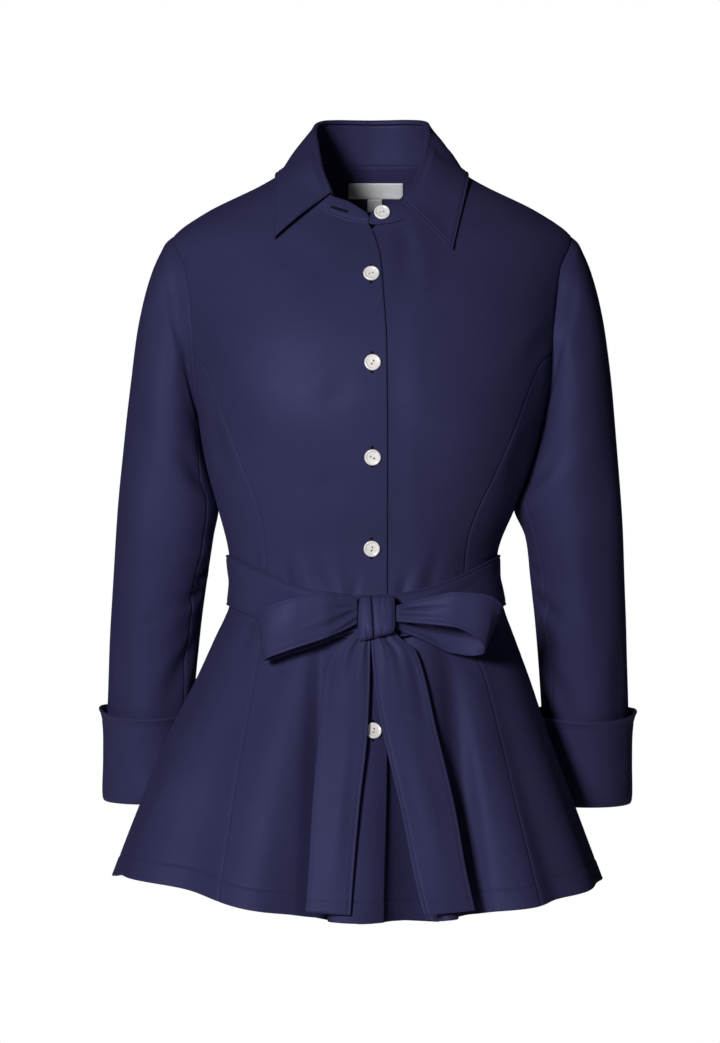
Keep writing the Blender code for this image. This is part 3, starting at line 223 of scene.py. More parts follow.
# Each button: name, place on the front, turn of its holes
BUTTON_ROWS = (
    ("button_1", -0.001, -0.1043, 20.0),
    ("button_2", 0.0, -0.1866, 60.0),
    ("button_3", 0.0, -0.2719, -30.0),
    ("button_4", -0.0006, -0.3548, 80.0),
    ("button_5", 0.0005, -0.5132, 70.0),
)
STAND_BUTTON_ANGLE = 10.0  # place of the undone top button round the neck
STAND_BUTTON_HEIGHT = 0.0105  # and its height on the stand

# Woven label and size tab on the back panel's inside
LABEL_X = (-0.023, 0.031)
LABEL_Z = (-0.017, -0.0052)
TAB_X = (-0.004, 0.01)
TAB_Z = (-0.027, -0.0174)
LABEL_THICKNESS = 0.0008
LABEL_CLEARANCE = 0.0014

# Soft creases of the trunk: face (1 front, -1 back), both ends seen from the front, how far the
# line bows, half width, depth (positive sinks in), and where along it the crease is deepest. In order:
# gathers that rise from the sash, drags from the armholes, hollows under the collar and between the buttons,
# gathers and drags of the back, drags at the sides of the waist, breaks of the peplum under the sash
TRUNK_CREASES = rows_of("-mmmmmmm-", """
    1 -38 -408 -62 -330 4 7.5 1.6 .25; 1 -25 -408 -33 -350 2 5 -1.1 .2; 1 -17 -410 -13 -368 1 4 1.1 .15;
    1 -72 -398 -85 -348 2 5 .9 .2; 1 -90 -395 -100 -356 1 4 -.7 .15; 1 25 -408 33 -370 1 4.2 1.4 .15;
    1 37 -406 56 -350 3 6 -.9 .2; 1 52 -402 72 -332 4 6.5 1.1 .2; 1 78 -398 90 -356 1 4.5 .8 .15;
    1 96 -395 102 -362 1 4 -.7 .15; 1 -161 -175 -150 -250 -3 6 -1.6 .4; 1 -170 -150 -124 -235 6 9 1.4 .3;
    1 -150 -235 -133 -310 3 7 1.4 .3; 1 162 -175 150 -248 3 6 -1.4 .4; 1 168 -150 128 -226 -6 9 1.3 .3;
    1 145 -245 129 -315 -3 7 1.3 .3; 1 -95 -70 -30 -115 4 16 1.4 .5; 1 30 -60 26 -140 4 9.5 2.6 .25;
    1 100 -70 45 -115 -4 16 1.4 .5; 1 -45 -230 -18 -200 2 12 1 .6; 1 18 -225 56 -262 2 13 1 .3;
    1 -55 -305 -18 -290 3 11 .9 .5; -1 -52 -390 -68 -310 3 7 2.4 .25; -1 -23 -390 -26 -330 2 5.5 1.8 .2;
    -1 8 -390 5 -318 -2 6 -1.8 .2; -1 34 -390 42 -323 2 6 2.1 .2; -1 82 -390 98 -320 -3 6.5 1.8 .25;
    -1 -94 -390 -109 -330 3 6 1.5 .25; -1 -135 -125 -70 -160 8 13 2.2 .3; -1 135 -125 65 -158 -8 13 2.2 .3;
    -1 -125 -180 -50 -225 8 12 1.5 .35; -1 125 -182 55 -230 -8 12 1.5 .35; -1 -60 -45 60 -45 10 13 1.2 .5;
    1 -118 -370 -80 -360 2 4.5 1 .4; 1 115 -370 78 -362 -2 4.5 1 .4; 1 -110 -418 -130 -465 2 6 1.6 .2;
    1 -80 -426 -93 -490 2 6 1.4 .15; 1 80 -424 96 -480 -2 6 1.6 .15; 1 106 -418 130 -468 -2 6 1.4 .2""")

# Creases of the sleeves: ring angle and height of both ends, then as above. Ring angle 0 is the outer
# line, 90 the front and 180 the inner line
SLEEVE_CREASES = {
    "right": rows_of("-m-mmmm-", """
        176 -372 128 -392 3 6 4.2 .2; 172 -392 118 -418 -3 6.5 4 .25; 170 -352 108 -362 4 8 -1.8 .25;
        150 -404 96 -448 -4 9 -1.6 .3; 96 -422 70 -427 1 5 1.4 .5; 160 -440 112 -530 -8 12 3.2 .35;
        150 -300 110 -240 8 13 3 .3; 118 -110 128 -205 -6 9 2.8 .35; 62 -90 84 -190 -6 15 2 .3;
        48 -260 60 -400 4 15 -1.6 .5; 34 -420 50 -560 6 14 1.6 .5; 200 -360 250 -350 4 7.5 3.2 .2;
        205 -392 262 -405 -3 8 3 .2; 232 -110 222 -205 6 11 3 .35; 275 -120 255 -235 8 15 2.2 .35;
        290 -400 330 -380 4 10 -2.2 .5; 300 -455 275 -560 5 12 2 .4; 140 -560 100 -598 2 6 1.4 .6;
        64 -572 88 -598 -2 5 1.2 .6"""),
    "left": rows_of("-m-mmmm-", """
        176 -366 132 -380 3 6.5 3.4 .2; 174 -396 120 -430 -4 7 3.8 .25; 160 -412 100 -470 -4 10 -2 .3;
        158 -452 118 -545 -8 12 2.8 .35; 150 -300 106 -232 8 14 3 .3; 112 -110 126 -215 -6 10 3 .35;
        72 -80 92 -200 -8 15 2.2 .3; 40 -250 66 -390 6 17 1.8 .5; 88 -340 100 -480 6 18 -2.2 .5;
        36 -430 44 -560 5 13 1.4 .5; 198 -362 255 -352 4 8 3.2 .2; 204 -398 258 -412 -3 8 3 .2;
        236 -105 224 -210 6 11 3 .35; 272 -125 250 -240 8 15 2.2 .35; 296 -395 332 -372 4 10 -2 .5;
        304 -460 280 -555 5 12 2 .4; 132 -562 104 -600 2 6 1.2 .6; 58 -566 80 -600 -2 5 1.2 .6"""),
}
SLEEVE_ARC = 0.00084  # arc length of a degree round the sleeve, for measuring its creases

# Creases of the sash and the bow, over share along the piece and share across it
LOOP_CREASES = {
    "right": rows_of("------m-", """
        .02 .52 .27 .8 .02 .06 2.6 .15; .02 .3 .2 .36 -.01 .05 1.4 .15; .02 .72 .24 1.02 .01 .045 -1.4 .15;
        .98 .55 .7 .75 .02 .06 2.2 .15; .98 .25 .74 .2 .02 .06 1.4 .15; .4 .12 .52 .9 .02 .09 -1 .5"""),
    "left": rows_of("------m-", """
        .02 .25 .26 .48 .02 .055 2.4 .15; .02 .55 .2 .8 .02 .05 1.6 .15; .02 .05 .18 .16 .02 .045 -1.4 .15;
        .98 .5 .72 .62 .02 .06 2.2 .15; .98 .2 .76 .24 .02 .06 1.4 .15; .44 .1 .52 .85 .02 .09 -1 .5"""),
}
TAIL_CREASES = {
    "right": rows_of("------m-", """
        0 .55 .16 .4 .03 .075 2.2 .2; 0 .8 .24 .74 .02 .08 -1.4 .2; .05 .15 .4 .3 .03 .11 1.4 .3;
        .35 .62 .95 .52 .03 .17 -1 .5"""),
    "left": rows_of("------m-", """
        0 .45 .2 .58 .03 .08 2 .2; 0 .2 .22 .26 .02 .08 -1.4 .2; .1 .85 .45 .72 .03 .11 1.4 .3;
        .4 .45 .96 .5 .03 .18 -1 .5"""),
}
# Gathers of the sash: angle, share of its height, half widths in degrees and share, depth
SASH_CREASES = rows_of("----m", """
    -34 .62 13 .1 1.6; -24 .36 12 .11 -1.2; -18 .7 9 .1 -1.2; -14 .5 8 .09 1.8; -12 .22 7 .08 1.2;
    36 .6 13 .1 1.6; 26 .34 12 .11 -1.2; 20 .72 9 .09 -1.2; 15 .48 8 .09 1.8; 12 .22 7 .08 1.2;
    88 .55 9 .16 .8;
    -90 .45 9 .16 .8; 150 .4 16 .13 1; 182 .66 18 .12 1; 214 .35 15 .13 1""")

# Small unevenness of all cloth: wave length up and round, turn of the pattern, height
RIPPLE_ROWS = rows_of("mm-m", """
    83 61 .7 .5; 47 71 2.1 .32; 36 29 3.9 .18; 21 26 5.2 .08""")

# Sewing
SEAM_DIP = 0.0007  # how far cloth turns in at a seam
SEAM_DIP_WIDTH = 0.0013
PUCKER_DEPTH = 0.00016  # small waves along a seam
PUCKER_STEP = 0.0085
STITCH_LENGTH = 0.0019
STITCH_PITCH = 0.0026
STITCH_RADIUS = 0.00024
STITCH_SINK = 0.00004  # how far a stitch's middle lies under the cloth's face
GROOVE_DEPTH = 0.0005  # how far cloth sinks under a row of stitches
GROOVE_WIDTH = 0.001
EDGE_PULL = 1.6  # how much deeper the stitches sink along the collar's and sash's edges
HEM_STITCH_RISE = 0.0195  # from the hem's fold up to its stitches
EDGE_STITCH_INSET = 0.0022  # from the edge of a doubled piece in to its stitches
HOLE_LENGTH = 0.0202  # buttonhole, with its bars
HOLE_WIDTH = 0.0021
HOLE_THREAD = 0.0006
HOLE_FLATNESS = 0.6
HOLE_LIFT = 0.00012
STITCH_SIDES = 5
# A stitch's rings: share of its length, of its thickness, and how far it dives into the cloth
STITCH_RINGS = ((-0.5, 0.55, -0.9), (0.0, 1.0, 0.0), (0.5, 0.55, -0.9))
TUBE_SIDES = 8
EDGE_ROUND = 0.32  # how far a cloth's edge bulges, as a share of its thickness
EDGE_THINNING = 0.0003  # how far the leaf's cloth sinks at its edge
EDGE_THINNING_WIDTH = 0.0007
CLEAR_SOFTNESS = 0.0008

# Each crease fades in before its start and ends past its end, as shares of its length, and has a ridge on
# both sides, placed and sized in its own half widths
CREASE_LEAD = 0.15
CREASE_END = 1.1
RIDGE_PLACE = 1.7
RIDGE_WIDTH = 0.9
RIDGE_SHARE = 0.3

# How finely the cloth is drawn
ARMHOLE_STEPS = 70
ROW_STEP = 0.003
HEM_ROW_STEP = 0.0013
HEM_ROWS_TOP_Z = -0.638
DEGREE_ARC = 0.0024  # arc length of a degree round the trunk, for its ripples
CENTRE_COLUMNS = 64
SIDE_COLUMNS = 40
BACK_COLUMNS = 84
NECK_STEPS = 24
UPPER_SLEEVE_COLUMNS = 100
UNDER_SLEEVE_COLUMNS = 44
SLEEVE_STEPS = 10
CUFF_COLUMNS = 130
CUFF_STEPS = 5
STAND_STATIONS = 50
STAND_END_STATIONS = 24
STAND_ROWS = 16
LEAF_STATIONS = 64
LEAF_FOLD_STEPS = 12
LEAF_FALL_STEPS = 28
SASH_COLUMNS = 250
SASH_ROWS = 26
LOOP_STATIONS = 110
LOOP_COLUMNS = 28
TAIL_STATIONS = 110
TAIL_COLUMNS = 24
KNOT_LEVELS = 40
KNOT_COLUMNS = 220
LABEL_COLUMNS = 36
LABEL_ROWS = 10
BUTTON_SEGMENTS = 48

SEAM_JOIN = 0.012  # height over which a princess seam runs into the armhole
FRONT_SEAM_Z = -0.227  # heights on the armhole where the under sleeve's seams start
BACK_SEAM_Z = -0.197
# Deep falls of the peplum's front: side, distance from the middle at waist and hem, width, depth
PLEAT_ROWS = rows_of("-mmmm", """
    -1 -46 -53 9 25; 1 27 40 13 34; 1 66 90 11 17""")
PLEAT_POWER = 1.2
HEM_STEP = 0.0015
BACK_NECK_Z = 0.0078
HEM_PROUD = 0.00035  # how much thicker the hem's turned-up cloth looks
SLEEVE_PART_Z = -0.333  # height where the sleeve parts from the trunk's side
SLEEVE_PART_HEIGHT = 0.018
SLEEVE_PRESS = 0.0004  # how far it presses into the side seam's dip above that
SLEEVE_HEAD = 0.0008  # rise of the sleeve's head beside its seam
SLEEVE_HEAD_PLACE = 0.01
SLEEVE_HEAD_WIDTH = 0.006
STAND_BELLY = 0.0006
STAND_LINE_Y = 0.02  # the line inside the neck is sewn behind here
SASH_BELLY = 0.0006
SASH_ARC = 0.0021
STAND_TUCK = 0.0003  # how far the stand reaches down past the neckline
STAND_PROUD = 0.0002
STAND_LINE_Z = 0.017  # height of the sewn line inside the back neck
TAIL_HEM_RISE = 0.01
CUFF_OUTER_ROW = 11.0  # the cuff's rows from here on are its outer face
CUFF_RADIUS = 0.048
CUFF_STITCH_RISE = 0.079
CUFF_STITCH_DIP = 0.004

# Creases of the cuffs: ring angle and height over the fold at both ends, then as above
CUFF_CREASES = rows_of("-m-mmmm-", """
    30 60 62 30 4 12 1 .5; 100 66 84 14 -3 14 .9 .5; 140 50 122 6 4 12 -.9 .5; 200 60 236 20 4 14 1 .5;
    300 64 276 16 -4 14 1 .5; 20 10 70 14 1 7 -.6 .5""")

# Creases of the collar's leaf, over distances along its edge and down its fall, from the right end
LEAF_CREASES = rows_of("mmmmmmm-", """
    30 34 52 52 3 12 .7 .5; 110 26 130 60 3 14 .6 .5; 330 26 310 58 -3 14 .6 .5; 420 30 404 54 -3 12 .7 .5""")

# Creases of the knot, over distances across and up its face
KNOT_CREASES = rows_of("mmmmmmm-", """
    -7.5 -18 -10 -4 .6 1.2 .7 .1; 4 17 3 4 .4 1.5 .6 .1; 9.5 17 8.5 6 -.4 1.4 .5 .1;
    5 -17.5 7.5 -6 .4 1.6 .4 .1""")
KNOT_SHARPNESS = 0.5  # the knot's sections, squarer than its solid's
KNOT_STEP = 0.0009  # how much further forward the wider part of its face lies
KNOT_LEAN = 0.0045  # how much its lower end rises from one side to the other
KNOT_FOLD_SLANT = -0.06  # sideways drift of the knot's fold for each metre of height
KNOT_CRACK_DEPTH = 0.003
KNOT_RADIUS = 0.0045  # of its round, for the cloth's pattern only
KNOT_CAP_RINGS = 5
KNOT_END_RISE = 0.001  # how far its rounded ends stand out
KNOT_EDGE_INSET = 0.0024  # from its sides in to their stitches

# A fine button's half section, from the middle of its back round to the middle of its dished face
FINE_BUTTON_PROFILE = rows_of("mm", """
    .4 0; 6.6 0; 7.3 .4; 7.5 1.1; 7.3 1.8; 6.8 2.3; 6.2 2.4; 5.6 2.1; 5 1.8; 3.8 1.7; 2 1.6; .4 1.6""")
FINE_BUTTON_STEPS = 3
BUTTON_GAP = 0.0003  # between a button's back and the cloth under it
THREAD_RADIUS = 0.00024
THREAD_RISE = 0.0004  # how far a button's threads arch over its face
THREAD_PLACES = (-0.00028, 0.00028)

HOLE_SHIFT = (-0.0004, 0.0004)  # from a button's middle to its buttonhole's

STAND_HOLE_ANGLE = 21.0  # place of the stand's buttonhole round the neck, on the right end
STAND_HOLE_HEIGHT = 0.0112
STAND_HOLE_LENGTH = 0.0175
STAND_BUTTON_GAP = BUTTON_GAP + 0.0002
STAND_BUTTON_TURN = 15.0
SEAT_STEPS = (-0.004, 0.0, 0.004)  # where the cloth under a button is felt for
LABEL_STITCH_INSET = 0.0012

CLOTH_DARK = (0.0235, 0.0232, 0.067, 1.0)
CLOTH_LIGHT = (0.032, 0.0315, 0.089, 1.0)
DOUBLED_DARK = (0.025, 0.0246, 0.071, 1.0)
DOUBLED_LIGHT = (0.034, 0.0335, 0.094, 1.0)
THREAD_DARK = (0.0065, 0.0065, 0.02, 1.0)
THREAD_LIGHT = (0.012, 0.012, 0.035, 1.0)
HOLE_DARK = (0.0016, 0.0016, 0.005, 1.0)
HOLE_LIGHT = (0.004, 0.004, 0.011, 1.0)
WHITE_DARK = (0.74, 0.72, 0.69, 1.0)
WHITE_LIGHT = (0.86, 0.84, 0.81, 1.0)
PEARL_WARM = (0.8, 0.74, 0.69, 1.0)
PEARL_COOL = (0.7, 0.72, 0.76, 1.0)
PEARL_LIGHT = (0.9, 0.88, 0.86, 1.0)
LABEL_DARK = (0.56, 0.56, 0.6, 1.0)
LABEL_LIGHT = (0.68, 0.68, 0.72, 1.0)
WEAVE_TURN = 63.0

# Studio
CAMERA_PLACE = (-0.0114, -2.6, -0.3301)
CAMERA_LENS = 94.5
WORLD_COLOUR = (1.0, 1.0, 1.0, 1.0)
AMBIENT = 0.008
FLOOR_COLOUR = (0.86, 0.86, 0.85, 1.0)
FLOOR_SIZE = 2.0
FLOOR_Z = -1.25
LIGHT_ROWS = (
    ("key", (-0.84, -2.08, 0.17), (-0.02, 0.0, -0.38), 0.45, 46.5, (1.0, 0.99, 0.98)),
    ("fill", (1.3, -2.6, 0.2), (0.0, 0.0, -0.4), 1.2, 0.8, (0.96, 0.98, 1.0)),
    ("back", (0.2, 2.9, -0.25), (0.0, 0.0, -0.4), 1.2, 22.0, (1.0, 1.0, 1.0)),
)


class Table:
    """Named columns over a first column, read on smooth curves through their rows, for arrays of keys."""

    def __init__(self, names, rows, limited=True):
        columns = np.array(sorted(rows)).T
        self.keys = columns[0]
        self.curves = {name: (column, row_slopes(self.keys, column, limited))
                       for name, column in zip(names, columns)}

    def at(self, name, key):
        keys, (values, slopes) = self.keys, self.curves[name]
        key = np.clip(key, keys[0], keys[-1])
        i = np.clip(np.searchsorted(keys, key) - 1, 0, len(keys) - 2)
        step = keys[i + 1] - keys[i]
        t = (key - keys[i]) / step
        return (values[i] * (2 * t**3 - 3 * t**2 + 1) + slopes[i] * step * (t**3 - 2 * t**2 + t)
                + values[i + 1] * (3 * t**2 - 2 * t**3) + slopes[i + 1] * step * (t**3 - t**2))


def row_slopes(keys, values, limited):
    """Slope at each row: the harmonic mean of its two sides, or a parabola's through three rows."""
    steps = np.diff(keys)
    sides = np.diff(values) / steps
    low, high = sides[:-1], sides[1:]
    if limited:
        same = low * high > 0.0
        inner = np.where(same, 2.0 * low * high / np.where(same, low + high, 1.0), 0.0)
    else:
        inner = (low * steps[1:] + high * steps[:-1]) / (steps[:-1] + steps[1:])
    return np.concatenate((sides[:1], inner, sides[-1:]))


def ease(value):
    value = np.clip(value, 0.0, 1.0)
    return value * value * (3.0 - 2.0 * value)


def near(distance, width):
    """1 at a line, falling off on both sides."""
    return np.exp(-(distance / width) ** 2)


def bump(angle, centre, spread):
    """1 at the centre angle, falling off on both sides."""
    away = ((angle - centre + 180.0) % 360.0 - 180.0) / spread
    return np.exp(-0.5 * away * away)


def bumps(angle, rows):
    return sum(height * bump(angle, centre, spread) for centre, spread, height in rows)


def both_bumps(angle, centre, spread):
    return bump(angle, centre, spread) + bump(angle, -centre, spread)


def signed_power(value, power):
    return np.sign(value) * np.abs(value) ** power


def point(x, y, z):
    return np.stack(np.broadcast_arrays(x, y, z), axis=-1).astype(float)


def unit(vectors):
    return vectors / np.maximum(np.linalg.norm(vectors, axis=-1, keepdims=True), 1e-12)


def dot(a, b):
    return np.sum(a * b, axis=-1, keepdims=True)


BODY = Table(BODY_NAMES, BODY_ROWS, limited=False)
SEAMS = Table(SEAM_NAMES, SEAM_ROWS)
EDGES = Table(EDGE_NAMES, EDGE_ROWS)
SLEEVE = Table(SLEEVE_NAMES, SLEEVE_ROWS)


def flare(z):
    """0 at the waist and above, 1 at the hem."""
    return np.clip((WAIST_Z - z) / (WAIST_Z - HEM_Z), 0.0, 1.0)


def swell(angle, z):
    """How far the bust and the arms' hollows move the body surface out."""
    bust_height = np.exp(-0.5 * ((z - BUST_Z) / BUST_RISE) ** 2)
    return (BUST_DEPTH * bust_height * both_bumps(angle, BUST_ANGLE, BUST_SPREAD)
            - BODY.at("arm_dent", z) * both_bumps(angle, DENT_ANGLE, DENT_SPREAD))


def body_surface(angle, z, folded=True):
    """Outer face of the cloth at an angle and a height."""
    turn, power = np.radians(angle), 2.0 / BODY.at("power", z)
    across, along = signed_power(np.sin(turn), power), signed_power(np.cos(turn), power)
    out = swell(angle, z) + (flare(z) ** FOLD_POWER * bumps(angle, FOLD_ROWS) if folded else 0.0)
    widest = BODY.at("widest_y", z)
    depth = np.where(along > 0.0, BODY.at("front", z) + widest, BODY.at("back", z) - widest)
    ahead, behind = np.maximum(along, 0.0), np.maximum(-along, 0.0)
    drop = HEM_DROP_FRONT * ahead ** 2 + HEM_DROP_BACK * behind ** 2 - bumps(angle, HEM_LIFT_ROWS)
    rise = NECK_BACK_RISE * behind * ease((z - NECK_RISE_FROM_Z) / NECK_RISE_HEIGHT)
    return point(BODY.at("shift", z) + (BODY.at("half_width", z) + out) * across,
                 widest - (depth + out) * along, z - drop * flare(z) ** HEM_DROP_POWER + rise)


def body_normal(angle, z, folded=True):
    across = body_surface(angle + 0.6, z, folded) - body_surface(angle - 0.6, z, folded)
    upward = body_surface(angle, z + 0.002, folded) - body_surface(angle, z - 0.002, folded)
    return unit(np.cross(across, upward))


def front_angle(x, z):
    """Angle on the body's front at a distance from the middle plane."""
    away = x - BODY.at("shift", z)
    share = np.clip(np.abs(away) / BODY.at("half_width", z), 0.0, 1.0)
    return np.degrees(np.sign(away) * np.arcsin(share ** (BODY.at("power", z) / 2.0)))


def back_angle(x, z):
    angle = front_angle(x, z)
    return np.where(angle < 0.0, -180.0, 180.0) - angle


def neck_front_x(z):
    """Half width of the front neckline at a height."""
    share = np.clip((NECK_SIDE_Z - z) / NECK_FRONT_DROP, 0.0, 1.0)
    return NECK_HALF_WIDTH * np.sqrt(1.0 - share * share)


def armhole_angle(z, facing, reach=None):
    """Angle of the armhole's front (facing 1) or back (-1) edge; reach is half its oval's depth there."""
    if reach is None:
        share = (z - ARMHOLE_MIDDLE_Z) / ARMHOLE_HALF_HEIGHT
        reach = ARMHOLE_HALF_DEPTH * np.sqrt(np.maximum(0.0, 1.0 - share * share))
    depth = BODY.at("front" if facing > 0 else "back", z)
    angle = np.degrees(np.arccos(np.clip(reach / depth, 0.0, 1.0) ** (BODY.at("power", z) / 2.0)))
    return angle if facing > 0 else 180.0 - angle


def crease_field(u, v, rows):
    """How far creases sink the cloth at places (u, v). Each has a soft ridge along both its sides."""
    sink = np.zeros(np.broadcast(u, v).shape)
    for u0, v0, u1, v1, bow, width, depth, peak in rows:
        length = math.hypot(u1 - u0, v1 - v0)
        du, dv = (u1 - u0) / length, (v1 - v0) / length
        along = ((u - u0) * du + (v - v0) * dv) / length
        clipped = np.clip(along, 0.0, 1.0)
        aside = (v - v0) * du - (u - u0) * dv - bow * 4.0 * clipped * (1.0 - clipped)
        fade = ease((along + CREASE_LEAD) / (peak + CREASE_LEAD))
        fade = fade * ease((CREASE_END - along) / (CREASE_END - peak))
        across = aside / (width * (0.7 + 0.6 * clipped))
        ridges = near(across - RIDGE_PLACE, RIDGE_WIDTH) + near(across + RIDGE_PLACE, RIDGE_WIDTH)
        sink += depth * fade * (near(across, 1.0) - RIDGE_SHARE * ridges)
    return sink


def ring_creases(rows):
    """Crease rows of a sleeve or cuff, their ring angles turned into metres round it."""
    return [(row[0] * SLEEVE_ARC, row[1], row[2] * SLEEVE_ARC, row[3]) + row[4:] for row in rows]


def ripples(u, v):
    """Small unevenness of the cloth at places in metres."""
    height = np.zeros(np.broadcast(u, v).shape)
    for up, around, turn, depth in RIPPLE_ROWS:
        bend = 0.6 * np.sin(u / (1.7 * around) + 2.3 * turn)
        height += depth * np.sin(v / up + bend + turn) * np.cos(u / around - 0.8 * v / up + 2.0 * turn)
    return height


def arc_lengths(grid, axis):
    """Distance along a grid's rows (axis 1) or columns (axis 0) from its first point."""
    steps = np.linalg.norm(np.diff(grid, axis=axis), axis=-1)
    start = np.zeros_like(np.take(steps, [0], axis=axis))
    return np.concatenate((start, np.cumsum(steps, axis=axis)), axis=axis)


def grid_normals(grid):
    """Unit normals of a grid, looking along rows x columns."""
    return unit(np.cross(np.gradient(grid, axis=1), np.gradient(grid, axis=0)))


def seam_dip(distance, along):
    """How far cloth turns in near a seam, with its small pucker."""
    pucker = np.sin(along / PUCKER_STEP * math.tau) * np.sin(along / (2.7 * PUCKER_STEP) * math.tau + 1.0)
    return (SEAM_DIP * near(distance, SEAM_DIP_WIDTH)
            + PUCKER_DEPTH * near(distance, 4.0 * SEAM_DIP_WIDTH) * pucker)


def groove(distance, along=0.0):
    """How far cloth sinks under a row of stitches at a distance from it, a little more at each stitch."""
    pull = 1.0 + 0.25 * np.sin(along / (2.0 * STITCH_PITCH) * math.tau)
    return GROOVE_DEPTH * pull * near(distance, GROOVE_WIDTH)


def spread_shares(columns, crowd=0.7):
    """Shares from 0 to 1, closer together near both ends."""
    even = np.linspace(0.0, 1.0, columns + 1)
    return (1.0 - crowd) * even + crowd * 0.5 * (1.0 - np.cos(math.pi * even))


def ring_turns(count):
    return np.linspace(0.0, 360.0, count, endpoint=False)


def smooth_rows(rows, steps):
    """More rows on a smooth curve through the given rows of points."""
    rows = np.asarray(rows)
    ends = np.concatenate((2 * rows[:1] - rows[1:2], rows, 2 * rows[-1:] - rows[-2:-1]))
    spans = np.linalg.norm(np.diff(ends, axis=0), axis=-1).mean(axis=-1) ** 0.5
    knots = np.concatenate(([0.0], np.cumsum(spans)))
    result = [spline_row(ends[i - 1:i + 3], knots[i - 1:i + 3], k / steps)
              for i in range(1, len(ends) - 2) for k in range(steps)]
    return np.array(result + [rows[-1]])


def spline_row(rows, knots, share):
    """Row between the middle two of four rows, on the centripetal curve through them."""
    t = knots[1] + (knots[2] - knots[1]) * share
    for reach in (1, 2):
        rows = [(rows[i] * (knots[i + reach] - t) + rows[i + 1] * (t - knots[i]))
                / (knots[i + reach] - knots[i]) for i in range(4 - reach)]
    return (rows[0] * (knots[2] - t) + rows[1] * (t - knots[1])) / (knots[2] - knots[1])


def grid_cells(rows, columns, ring=True, closed=False):
    """Rows and columns of each cell's corners on a grid. ring joins its two sides, closed its two ends."""
    i, j = np.meshgrid(np.arange(rows if closed else rows - 1), np.arange(columns if ring else columns - 1),
                       indexing="ij")
    return (np.stack((i, i, i + 1, i + 1), axis=-1).reshape(-1, 4),
            np.stack((j, j + 1, j + 1, j), axis=-1).reshape(-1, 4))


def ring_faces(rows, columns, closed=False):
    """Faces between rings of points, with a cap at each end or with the ends joined."""
    i, j = grid_cells(rows, columns, True, closed)
    caps = [] if closed else [list(range(columns))[::-1], list(range((rows - 1) * columns, rows * columns))]
    return (i % rows * columns + j % columns).tolist() + caps


def cell_uv(u0, u1, v0, v1):
    """Texture places of cells' corners, from the places of their four sides."""
    return np.stack((u0, v0, u1, v0, u1, v1, u0, v1), axis=-1).reshape(-1, 2)


def edge_loops(rows, columns, ring):
    """Closed walks round a grid's free edges, as row and column numbers."""
    along, up = np.arange(columns), np.arange(rows)
    if ring:
        return [(np.zeros(columns, int), along), (np.full(columns, rows - 1), along)]
    i = np.concatenate((np.zeros(columns - 1, int), up[:-1], np.full(columns - 1, rows - 1), up[:0:-1]))
    j = np.concatenate((along[:-1], np.full(rows - 1, columns - 1), along[:0:-1], np.zeros(rows - 1, int)))
    return [(i, j)]


def shell(name, outer, inner, material, ring=False):
    """Closed cloth wall between two grids of points, its free edges rounded, its texture in metres."""
    rows, columns = outer.shape[:2]
    i, j = grid_cells(rows, columns, ring)
    quads, count = i * columns + j % columns, rows * columns
    closed = np.concatenate((outer, outer[:, :1]), axis=1) if ring else outer
    cloth_uv = np.stack((arc_lengths(closed, 1), arc_lengths(closed, 0)), axis=-1)
    quad_uv = cloth_uv[i, j]
    verts, faces = [outer.reshape(-1, 3), inner.reshape(-1, 3)], [quads, quads[:, ::-1] + count]
    uvs = [quad_uv, quad_uv[:, ::-1]]
    base = 2 * count
    for i, j in edge_loops(rows, columns, ring):
        inside = outer[np.clip(i, 1, rows - 2), j if ring else np.clip(j, 1, columns - 2)]
        edge, under = outer[i, j], inner[i, j]
        thickness = np.linalg.norm(edge - under, axis=-1, keepdims=True)
        verts.append(0.5 * (edge + under) + unit(edge - inside) * EDGE_ROUND * thickness)
        a, m = i * columns + j, base + np.arange(len(i))
        b, n = np.roll(a, -1), np.roll(m, -1)
        faces += [np.stack((a, b, n, m), axis=-1), np.stack((m, n, b + count, a + count), axis=-1)]
        pair = np.stack((cloth_uv[i, j], np.roll(cloth_uv[i, j], -1, axis=0)), axis=1)
        uvs += [pair[:, [0, 1, 1, 0]]] * 2
        base += len(a)
    verts, faces, uvs = (np.concatenate(parts) for parts in (verts, faces, uvs))
    return add_mesh(name, verts, faces.tolist(), material, uvs)


def add_object(name, data, **settings):
    item = bpy.data.objects.new(name, data)
    for setting, value in settings.items():
        setattr(item, setting, value)
    bpy.context.scene.collection.objects.link(item)
    return item


def add_mesh(name, verts, faces, material, uvs=None, outward=True):
    data = bpy.data.meshes.new(name)
    data.from_pydata(verts.tolist(), [], faces)
    if uvs is not None:
        layer = data.uv_layers.new(name="cloth")
        layer.data.foreach_set("uv", np.asarray(uvs, dtype=np.float32).ravel())
    if outward:
        mesh = bmesh.new()
        mesh.from_mesh(data)
        bmesh.ops.recalc_face_normals(mesh, faces=mesh.faces)
        mesh.to_mesh(data)
        mesh.free()
    data.shade_smooth()
    data.materials.append(material)
    return add_object(name, data)


def mount(piece, slot, *nodes):
    """The piece rides with the garment, takes a record's slot, and stands for the named nodes."""
    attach(piece, "root")
    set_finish(piece, slot)
    if nodes:
        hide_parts(*nodes)
    return piece


def mount_cloth(name, outer, inner, material, doubled=True, ring=False):
    """Cloth shell that stands for the node of its name."""
    piece = shell(name + "_cloth", outer, inner, material, ring)
    return mount(piece, "navy_sateen_double" if doubled else "navy_sateen", name)


def read_points(at, keys, points):
    """Points read at places along rising keys."""
    return np.stack([np.interp(at, keys, points[:, c]) for c in range(3)], axis=-1)


